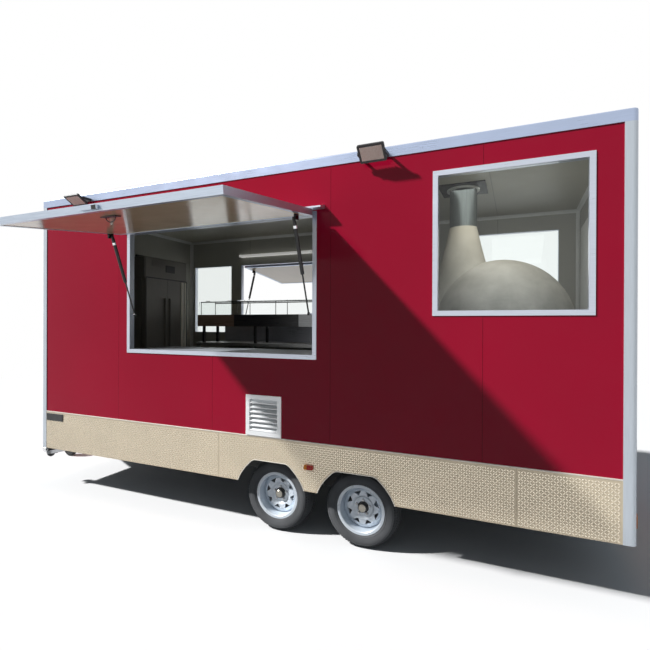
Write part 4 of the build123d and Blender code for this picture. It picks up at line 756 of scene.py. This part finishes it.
TRIM_RISE, TRIM_FACE, CAP_HEIGHT, TRIM_INSET = 0.0025, 0.007, 0.009, 0.0755
STRIP = [(0.0, 0.0), (TRIM_RISE, 0.0), (TRIM_RISE, CAP_HEIGHT * 0.7), (-0.003, CAP_HEIGHT), (-0.0035, 0.0)]
ARCH_TRIM = [(0, 0), (TRIM_FACE, 0), (TRIM_FACE * 0.8, TRIM_RISE), (0, TRIM_RISE)]
PLATE_THICK, SCREW_INSET, SCREW = 0.006, 0.014, [(0.0, 0.0022), (0.003, 0.002), (0.0048, 0.0)]

edge = [Vector(point) for point in arch_edge()]
for side, name in SIDES:
    shape = Shape()
    face = side * skirt_y
    ends = [(x, face, skirt_top) for x in (front_x + TRIM_INSET, rear_x - TRIM_INSET)]
    shape.sweep([(end, (0, side, 0), (0, 0, 1)) for end in ends], STRIP)
    for axle in AXLES:
        stations = []
        for n, point in enumerate(edge):
            run = (edge[min(n + 1, len(edge) - 1)] - edge[max(n - 1, 0)]).normalized()
            spot = (axle + ARCH_SHIFT + point.x, face, skirt_z + point.y)
            stations.append((spot, (-run.y, 0, run.x), (0, side, 0)))
        shape.sweep(stations, ARCH_TRIM)
    shape.piece(f"{name}_skirt_trim", "trailer", "pale_trim")

shape = Shape()
low, high = BLANK_PLATE
plate_y = -skirt_y - PLATE_THICK
shape.box((low[0], plate_y, low[1]), (high[0], -skirt_y, high[1]), bevel=0.002)
for x in (low[0] + SCREW_INSET, high[0] - SCREW_INSET):
    for z in (low[1] + SCREW_INSET, high[1] - SCREW_INSET):
        shape.lathe((x, plate_y, z), (0, -1, 0), SCREW, 12)
shape.piece("front_blank_plate", "trailer", "dark_plastic")

# End of the corner steady's tube, on a lug under the front post

SOCKET_X, SOCKET_Y, SOCKET_Z = front_x - 0.045, 1.13, skirt_z - 0.044
SOCKET = [  # radius, along
    (0.0, 0.018), (0.016, 0.018), (0.018, 0.004), (0.024, 0.0), (0.031, 0.002), (0.034, 0.010),
    (0.034, 0.040), (0.028, 0.052), (0.022, 0.054), (0.0, 0.054),
]
TUBE_FROM_SOCKET = 0.05
TUBE = [(0.0, 0.0), (0.021, 0.0), (0.021, 0.126), (0.026, 0.128), (0.026, 0.140), (0.0, 0.140)]
LUG_X, LUG_HALF, LUG_RISE = (0.012, 0.072), 0.02, 0.012
SOCKET_SHARP = 0.7

shape = Shape()
shape.lathe((SOCKET_X, -SOCKET_Y, SOCKET_Z), (1, 0, 0), SOCKET, 28)
socket = shape.piece("steady_tube_cap", "trailer", "chrome", smooth=True)
socket.data.set_sharp_from_angle(angle=SOCKET_SHARP)
shape = Shape()
shape.lathe((SOCKET_X + TUBE_FROM_SOCKET, -SOCKET_Y, SOCKET_Z), (1, 0, 0), TUBE, 20)
shape.box((front_x + LUG_X[0], -SOCKET_Y - LUG_HALF, SOCKET_Z + LUG_RISE),
          (front_x + LUG_X[1], -SOCKET_Y + LUG_HALF, skirt_z), bevel=0.003)
shape.piece("steady_tube_lug", "trailer", "dark_steel")

# Tyres, wheel nuts, valves, and a black ring round each hub as a painted shadow of its cap

TREAD = [  # distance across from the middle, drop below the crown, cut by the cross grooves
    (0.0760, 0.0165, 1), (0.0690, 0.0065, 1), (0.0560, 0.0035, 1), (0.0480, 0.0022, 0), (0.0470, 0.0088, 0),
    (0.0400, 0.0088, 0), (0.0390, 0.0014, 0), (0.0170, 0.0004, 0), (0.0160, 0.0078, 0), (0.0090, 0.0078, 0),
    (0.0080, 0.0002, 0),
]
SIDEWALL = [  # radius, distance across
    (0.1956, 0.0746), (0.1990, 0.0790), (0.2060, 0.0838), (0.2120, 0.0868), (0.2135, 0.0852),
    (0.2160, 0.0856), (0.2175, 0.0884), (0.2350, 0.0922), (0.2480, 0.0925), (0.2600, 0.0908),
    (0.2618, 0.0884), (0.2650, 0.0884), (0.2665, 0.0896), (0.2740, 0.0860),
]
BEAD_RADIUS, BEAD_HALF = 0.1763, 0.0740
LUGS, LUG_SKEW, GROOVE, TREAD_SHARP = 84, 0.6, 0.0068, math.radians(32)
NUTS, NUT_CIRCLE, NUT_TURN, DISC_FACE = 5, 0.05715, 0.3, 0.010
NUT = [  # radius, along
    (0.0, 0.019), (0.0055, 0.019), (0.0055, 0.014), (0.0085, 0.014), (0.0105, 0.011), (0.0105, 0.0),
    (0.013, -0.001)]
VALVE_CIRCLE, VALVE_TURN = 0.149, 1.1
VALVE = [(0.0, 0.026), (0.004, 0.026), (0.004, 0.008), (0.006, 0.006), (0.006, -0.006)]
# A black ring round the hub cap that stands in for the cap's shadow on the disc
HUB_SHADOW_FACE = 0.0102
HUB_SHADOW_RING = [(0.030, 0.0), (0.0305, 0.006), (0.034, 0.007), (0.041, 0.0035), (0.042, 0.0)]


def tyre(wheel, centre):
    """A tread of lugs and grooves between two lined sidewalls."""
    low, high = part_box(f"{wheel}_tyre")
    crown = (high[2] - low[2]) / 2
    half = [(r, w, 0) for r, w in SIDEWALL] + [(crown - under, w, cut) for w, under, cut in TREAD]
    outline = half + [(r, -w, cut) for r, w, cut in reversed(half)]
    outline += [(BEAD_RADIUS, -BEAD_HALF, 0), (BEAD_RADIUS, BEAD_HALF, 0)]
    rows, count = len(outline), LUGS * 2
    verts, faces = [], []
    for step in range(count):
        for radius, across, cut in outline:
            skew = LUG_SKEW if cut and across > 0 else 0.0
            turn = 2 * math.pi * (step + skew) / count
            reach = radius - (GROOVE if cut and step % 2 else 0.0)
            verts.append(centre + Vector((reach * math.cos(turn), across, reach * math.sin(turn))))
    for step in range(count):
        here, there = step * rows, (step + 1) % count * rows
        for row in range(rows):
            nxt = (row + 1) % rows
            faces.append((here + row, here + nxt, there + nxt, there + row))
    shape = Shape()
    shape.add(verts, faces)
    made = shape.piece(f"{wheel}_road_tyre", f"{wheel}_wheel", "tyre_rubber", smooth=True)
    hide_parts(f"{wheel}_tyre")
    made.data.set_sharp_from_angle(angle=TREAD_SHARP)


def wheel_fittings(wheel, centre):
    """Five nuts on their studs, a valve in the rim, and a black ring round the hub painted as the cap's
    shadow.
    """
    side = -1 if wheel.endswith("near") else 1
    outward = (0, side, 0)

    def on_disc(radius, turn):
        return centre + Vector((radius * math.cos(turn), side * DISC_FACE, radius * math.sin(turn)))

    shape = Shape()
    for n in range(NUTS):
        shape.lathe(on_disc(NUT_CIRCLE, 2 * math.pi * n / NUTS + NUT_TURN), outward, NUT, 6)
    shape.lathe(on_disc(VALVE_CIRCLE, VALVE_TURN), outward, VALVE, 10)
    shape.piece(f"{wheel}_wheel_nuts", f"{wheel}_wheel", "zinc_steel")
    # Black ring round the hub: a painted shadow of the cap
    shape = Shape()
    shape.lathe(centre + Vector((0, side * HUB_SHADOW_FACE, 0)), outward, HUB_SHADOW_RING, 32)
    shape.piece(f"{wheel}_hub_painted_shadow", f"{wheel}_wheel", "black_metal", smooth=True)


for wheel in WHEELS:
    hub_centre = Vector([middle(f"{wheel}_tyre", axis) for axis in range(3)])
    tyre(wheel, hub_centre)
    wheel_fittings(wheel, hub_centre)

# Hatch fittings: a bright collar on each gas strut, and a pull under the front edge

STRUT_LOW, STRUT_HIGH_ALONG, STRUT_HIGH_BELOW = (1.176, 1.833), 0.185, 0.078
STRUT_OFF_MIDDLE, COLLAR_FROM_PIN = 0.934, 0.052
COLLAR = [  # radius, along
    (0.0152, 0.0), (0.0166, 0.001), (0.0166, 0.012), (0.0160, 0.013), (0.0166, 0.014), (0.0166, 0.022),
    (0.0152, 0.023)]
PULL_ALONG, PULL_OFF_MIDDLE, PULL_HALF = 0.955, 0.07, 0.07
UNDERSIDE, PULL_BELOW = 0.0462, 0.052
PULL_PLATE = [(-0.026, 0), (0.026, 0), (0.024, PULL_BELOW - UNDERSIDE), (-0.024, PULL_BELOW - UNDERSIDE)]
WIRE_HALF, WIRE_SAG, WIRE_IN_PLATE, WIRE_RADIUS, WIRE_STEPS = 0.045, 0.034, 0.002, 0.0032, 16
WIRE_TURNS = [math.pi * n / 4 for n in range(8)]
WIRE_RING = [(WIRE_RADIUS * math.cos(turn), WIRE_RADIUS * math.sin(turn)) for turn in WIRE_TURNS]


def on_hatch(side, x, along, below):
    """A point of the open hatch from its distances along and below the hinge's plane."""
    out = HINGE_Y + along * math.cos(drop) - below * math.sin(drop)
    return Vector((x, side * out, HINGE_Z - along * math.sin(drop) - below * math.cos(drop)))


for side, name in SIDES:
    hatch_x = middle(f"{name}_hatch_panel", 0)
    high = on_hatch(side, 0.0, STRUT_HIGH_ALONG, STRUT_HIGH_BELOW)
    reach = (high - Vector((0.0, side * STRUT_LOW[0], STRUT_LOW[1]))).normalized()
    shape = Shape()
    for hand in (-1, 1):
        spot = high + Vector((hatch_x + hand * STRUT_OFF_MIDDLE, 0, 0)) - reach * COLLAR_FROM_PIN
        shape.lathe(spot, -reach, COLLAR, closed=True)
    shape.piece(f"{name}_strut_collars", f"{name}_strut_tubes", "chrome")

    shape = Shape()
    pull_x = hatch_x - PULL_OFF_MIDDLE
    hinge = on_hatch(side, 0, 0, 0)
    outward, down = on_hatch(side, 0, 1, 0) - hinge, on_hatch(side, 0, 0, 1) - hinge
    ends = [on_hatch(side, pull_x + hand * PULL_HALF, PULL_ALONG, UNDERSIDE) for hand in (-1, 1)]
    shape.sweep([(end, outward, down) for end in ends], PULL_PLATE)
    cross = Vector((0, -down.z, down.y))
    wire = []
    for n in range(WIRE_STEPS + 1):
        turn = math.pi * n / WIRE_STEPS
        below = PULL_BELOW - WIRE_IN_PLATE + WIRE_SAG * math.sin(turn)
        place = on_hatch(side, pull_x - WIRE_HALF * math.cos(turn), PULL_ALONG, below)
        run = (Vector((WIRE_HALF * math.sin(turn), 0, 0)) + down * WIRE_SAG * math.cos(turn)).normalized()
        wire.append((place, cross, run.cross(cross)))
    shape.sweep(wire, WIRE_RING)
    shape.piece(f"{name}_hatch_pull", f"{name}_hatch", "black_metal")

# Cabin: coving and a lamp tube

END_WALL = 0.0565
inner_x = (front_x + END_WALL, rear_x - END_WALL)
COVE = [(0, 0), (0.034, 0), (0.030, 0.006), (0.013, 0.013), (0.006, 0.030), (0, 0.034)]
shape = Shape()
for side in (-1, 1):
    ends = [(x, side * inner_y, ceiling_z) for x in inner_x]
    shape.sweep([(end, (0, -side, 0), (0, 0, -1)) for end in ends], COVE)
for x, inward in zip(inner_x, (1, -1)):
    ends = [(x, y, ceiling_z) for y in (-inner_y, inner_y)]
    shape.sweep([(end, (inward, 0, 0), (0, 0, -1)) for end in ends], COVE)
    for side in (-1, 1):
        ends = [(x, side * inner_y, z) for z in (floor_z, ceiling_z)]
        shape.sweep([(end, (inward, 0, 0), (0, -side, 0)) for end in ends], COVE)
shape.piece("cabin_coving", "trailer", "white_plastic")

TUBE_X, TUBE_Y, TUBE_Z = (-1.083, 0.085), inner_y - 0.052, 2.744
BASE_INSET, BASE_FROM_TUBE, BASE_HALF, WALL_GAP = 0.01, 0.018, 0.02, 0.0005
tube_length = TUBE_X[1] - TUBE_X[0]
TUBE_CAP = [(0.0, 0.0), (0.017, 0.0), (0.019, 0.002), (0.019, 0.030), (0.015, 0.031)]  # radius, along
shape = Shape()
shape.lathe((TUBE_X[0], TUBE_Y, TUBE_Z), (1, 0, 0),
            TUBE_CAP + [(radius, tube_length - along) for radius, along in reversed(TUBE_CAP)], 20)
shape.box((TUBE_X[0] + BASE_INSET, TUBE_Y + BASE_FROM_TUBE, TUBE_Z - BASE_HALF),
          (TUBE_X[1] - BASE_INSET, inner_y - WALL_GAP, TUBE_Z + BASE_HALF), bevel=0.004)
shape.piece("cabin_tube_lamp", "trailer", "tube_glass_painted_highlight")

# Fridge: a head with a grille and a display, door seals, and pale strips at the door's edge

HANDLE_OUT = 0.028
HEAD_RISE, HEAD_FRONT, HEAD_LAP, HEAD_SIDE, HEAD_FOOT, HEAD_TOP = 0.25, 0.012, 0.002, 0.004, 0.008, 0.006
SLATS, SLAT_FROM, SLAT_PITCH, SLAT_HIGH, SLAT_SHARES = 6, 0.150, 0.012, 0.006, (0.14, 0.42)
SLAT_IN, SLAT_OUT = 0.002, 0.004
DIAL_SHARES, DIAL_RISE, DIAL_OUT = (0.46, 0.68), (0.090, 0.175), 0.008
SEAL_IN, SEAL_OUT, SEAL_WIDE, SEAL_INSET, SEAL_FOOT = 0.004, 0.006, 0.008, 0.004, 0.06
HEAD_SEAL = (-0.004, 0.010)
STRIPS = ((0.110, 0.046), (0.048, 0.026))  # distance from the door's edge, width
STRIP_IN, STRIP_OUT, STRIP_FOOT, STRIP_TOP = 0.001, 0.014, 0.10, 0.012

(cold_x, cold_y, cold_z), (handle_x, cold_end, cold_top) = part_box("fridge")
face_x, wide = handle_x - HANDLE_OUT, cold_end - cold_y
shape = Shape()
shape.box((cold_x, cold_y, cold_top), (face_x - HEAD_FRONT, cold_end, cold_top + HEAD_RISE), bevel=0.006)
shape.box((face_x - HEAD_FRONT - HEAD_LAP, cold_y + HEAD_SIDE, cold_top + HEAD_FOOT),
          (face_x, cold_end - HEAD_SIDE, cold_top + HEAD_RISE - HEAD_TOP), bevel=0.004)
for n in range(SLATS):
    z = cold_top + SLAT_FROM + n * SLAT_PITCH
    shape.box((face_x - SLAT_IN, cold_y + SLAT_SHARES[0] * wide, z),
              (face_x + SLAT_OUT, cold_y + SLAT_SHARES[1] * wide, z + SLAT_HIGH), bevel=0.0015)
shape.piece("fridge_head", "trailer", "fridge")

shape = Shape()
shape.box((face_x - SLAT_IN, cold_y + DIAL_SHARES[0] * wide, cold_top + DIAL_RISE[0]),
          (face_x + DIAL_OUT, cold_y + DIAL_SHARES[1] * wide, cold_top + DIAL_RISE[1]), bevel=0.003)
for y in (cold_y + SEAL_INSET, cold_end - SEAL_INSET - SEAL_WIDE):
    shape.box((face_x - SEAL_IN, y, cold_z + SEAL_FOOT),
              (face_x + SEAL_OUT, y + SEAL_WIDE, cold_top), bevel=0.002)
shape.box((face_x - SEAL_IN, cold_y + SEAL_INSET, cold_top + HEAD_SEAL[0]),
          (face_x + SEAL_OUT, cold_end - SEAL_INSET, cold_top + HEAD_SEAL[1]), bevel=0.002)
shape.piece("fridge_seals", "trailer", "black_metal")

shape = Shape()
for from_edge, width in STRIPS:
    y = cold_end - from_edge
    shape.box((face_x - STRIP_IN, y, cold_z + STRIP_FOOT),
              (face_x + STRIP_OUT, y + width, cold_top - STRIP_TOP), bevel=0.005)
shape.piece("fridge_strips", "trailer", "pale_strip")

# Far side: posts of the display glass, a splashboard behind the bench, and a switch panel on the front wall

POSTS, POST, POST_INSET, POST_FROM_GLASS, POST_BELOW_GLASS = 4, 0.008, 0.014, 0.04, 0.010
RAIL_INSET, RAIL_BELOW = 0.01, (0.024, 0.011)
KNOB_IN, KNOB_DOWN = 0.10, 0.06
KNOB = [(0.0, 0.022), (0.014, 0.022), (0.017, 0.019), (0.018, 0.004), (0.023, 0.0)]  # radius, along
(case_x, case_y, _), (case_end, case_back, case_top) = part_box("display_cabinet")
glass_low, glass_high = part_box("display_glass")
glass_top = glass_high[2]
post_y = (glass_low[1] + POST_INSET + POST_FROM_GLASS, case_back - POST_INSET)
shape = Shape()
for n in range(POSTS):
    x = case_x + POST_INSET + (case_end - case_x - 2 * POST_INSET - POST) * n / (POSTS - 1)
    for y in post_y:
        shape.box((x, y, case_top), (x + POST, y + POST, glass_top - POST_BELOW_GLASS), bevel=0.002)
for y in post_y:
    shape.box((case_x + RAIL_INSET, y, glass_top - RAIL_BELOW[0]),
              (case_end - RAIL_INSET, y + POST, glass_top - RAIL_BELOW[1]), bevel=0.002)
shape.lathe((case_end, case_y + KNOB_IN, case_top - KNOB_DOWN), (1, 0, 0), KNOB, 20)
shape.piece("display_posts", "trailer", "black_metal")

SPLASH_FROM_WALL, SPLASH_BELOW_CASE, SPLASH_THICK, SPLASH_FOLD = 0.016, 0.15, 0.006, 0.013
FOLD_HIGH = 0.004
bench_low, bench_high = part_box("prep_bench")
rise = case_top - SPLASH_BELOW_CASE - bench_high[2]
splash_foot = [(x, inner_y - SPLASH_FROM_WALL, bench_high[2]) for x in (bench_low[0], bench_high[0])]
shape = Shape()
shape.sweep([(foot, (0, 1, 0), (0, 0, 1)) for foot in splash_foot], [
    (0, 0), (SPLASH_THICK, 0), (SPLASH_THICK, rise - FOLD_HIGH), (SPLASH_FOLD, rise - FOLD_HIGH),
    (SPLASH_FOLD, rise), (0, rise)])
shape.piece("bench_splashboard", "trailer", "splash_steel")

SWITCH_Y, SWITCH_Z, SWITCH_SIZE, SWITCH_DEEP = 0.022, 2.529, 0.14, 0.03
KEYS, KEY_FROM, KEY_PITCH, KEY_WIDE = 4, 0.022, 0.026, 0.018
KEY_RISE, KEY_DEPTH = (0.045, 0.095), (0.028, 0.038)
shape = Shape()
x = inner_x[0]
shape.box((x, SWITCH_Y, SWITCH_Z),
          (x + SWITCH_DEEP, SWITCH_Y + SWITCH_SIZE, SWITCH_Z + SWITCH_SIZE), bevel=0.006)
for n in range(KEYS):
    y = SWITCH_Y + KEY_FROM + n * KEY_PITCH
    shape.box((x + KEY_DEPTH[0], y, SWITCH_Z + KEY_RISE[0]),
              (x + KEY_DEPTH[1], y + KEY_WIDE, SWITCH_Z + KEY_RISE[1]), bevel=0.003)
shape.piece("switch_panel", "trailer", "dark_plastic")

# Floor, light, camera

FLOOR_REACH, FLOOR_FADE = 60.0, (6.0, 13.0)
FLOOR_SEEN, FLOOR_BOUNCE = (0.90, 0.90, 0.90, 1), (0.145, 0.15, 0.155, 1)
SKY, SKY_LEVEL, BACKDROP = (0.78, 0.89, 1.0, 1), 0.17, (1, 1, 1, 1)
SUN_FROM, SUN_LEVEL, SUN_ANGLE = Vector((-1.70, -1.0, 1.68)), 4.7, math.radians(2.5)
CABIN_LAMP, CABIN_AIM, CABIN_LEVEL, CABIN_SIZE = (2.55, -0.55, 2.86), (2.55, 0.0, 1.2), 4.6, 0.9
CAMERA_PLACE = (2.668, -4.4135, 1.7496)
YAW, PITCH, ROLL = (math.radians(a) for a in (23.39, -0.10, 0.22))
LENS, SENSOR, CLIP_END = 24.68, 36.0, 200.0


def seen(tree):
    """1 for rays that reach the camera straight, by a mirror or through glass."""
    ray = tree.nodes.new("ShaderNodeLightPath")
    found = ray.outputs["Is Camera Ray"]
    for kind in ("Is Glossy Ray", "Is Transmission Ray"):
        either = tree.nodes.new("ShaderNodeMath")
        either.operation = "MAXIMUM"
        tree.links.new(found, either.inputs[0])
        tree.links.new(ray.outputs[kind], either.inputs[1])
        found = either.outputs[0]
    return found


def blended(tree, factor, first, second):
    """A mix of two shaders."""
    made = tree.nodes.new("ShaderNodeMixShader")
    for slot, source in enumerate((factor, first, second)):
        tree.links.new(source, made.inputs[slot])
    return made.outputs[0]


def floor_look():
    """Pale where it is seen, darker as a source of bounced light, and white far away."""
    look = Look("studio_floor", 0.9, 0.0, Specular_IOR_Level=0.1)
    by_eye = seen(look.tree)
    look.colour(look.mix(by_eye, FLOOR_BOUNCE, look.varied(FLOOR_SEEN, 0.01, 0.4)))
    far = look.node("ShaderNodeVectorMath", operation="LENGTH")
    look.link(look.place, far.inputs[0])
    fade = look.both(look.between(far.outputs["Value"], *FLOOR_FADE), by_eye)
    glow = look.node("ShaderNodeEmission")
    surface = blended(look.tree, fade, look.shader.outputs[0], glow.outputs[0])
    look.link(surface, look.tree.nodes["Material Output"].inputs["Surface"])
    return look.mat


mesh = bpy.data.meshes.new("studio_floor")
mesh.from_pydata([
    (-FLOOR_REACH, -FLOOR_REACH, 0), (FLOOR_REACH, -FLOOR_REACH, 0), (FLOOR_REACH, FLOOR_REACH, 0),
    (-FLOOR_REACH, FLOOR_REACH, 0)], [], [(0, 1, 2, 3)])
mesh.materials.append(floor_look())
ground = bpy.data.objects.new("studio_floor", mesh)
scene.collection.objects.link(ground)

world = bpy.data.worlds.new("studio")
scene.world = world
world.use_nodes = True
tree = world.node_tree
tree.nodes.clear()
sky, backdrop = (tree.nodes.new("ShaderNodeBackground") for n in range(2))
sky.inputs["Color"].default_value = SKY
sky.inputs["Strength"].default_value = SKY_LEVEL
backdrop.inputs["Color"].default_value = BACKDROP
out = tree.nodes.new("ShaderNodeOutputWorld")
tree.links.new(blended(tree, seen(tree), sky.outputs[0], backdrop.outputs[0]), out.inputs["Surface"])


def lamp(name, kind, energy, location, target, **settings):
    light = bpy.data.lights.new(name, kind)
    light.energy = energy
    for key, value in settings.items():
        setattr(light, key, value)
    made = bpy.data.objects.new(name, light)
    scene.collection.objects.link(made)
    made.location = location
    made.rotation_euler = (Vector(target) - Vector(location)).to_track_quat("-Z", "Y").to_euler()


lamp("sun", "SUN", SUN_LEVEL, SUN_FROM * 6, (0.0, 0.0, 0.0), angle=SUN_ANGLE)
lamp("cabin_lamp", "AREA", CABIN_LEVEL, CABIN_LAMP, CABIN_AIM, size=CABIN_SIZE)

right = Vector((math.cos(YAW), math.sin(YAW), 0))
ahead = Vector((-math.sin(YAW), math.cos(YAW), 0))
level_up = Vector((0, 0, 1))
look_along = ahead * math.cos(PITCH) + level_up * math.sin(PITCH)
up = level_up * math.cos(PITCH) - ahead * math.sin(PITCH)
rolled_right = right * math.cos(ROLL) + up * math.sin(ROLL)
rolled_up = up * math.cos(ROLL) - right * math.sin(ROLL)
lens = bpy.data.cameras.new("camera")
lens.lens, lens.sensor_width, lens.clip_end = LENS, SENSOR, CLIP_END
camera = bpy.data.objects.new("camera", lens)
scene.collection.objects.link(camera)
turn = Matrix((rolled_right, rolled_up, -look_along)).transposed().to_4x4()
camera.matrix_world = Matrix.Translation(CAMERA_PLACE) @ turn
scene.camera = camera
scene.view_settings.view_transform = "Standard"
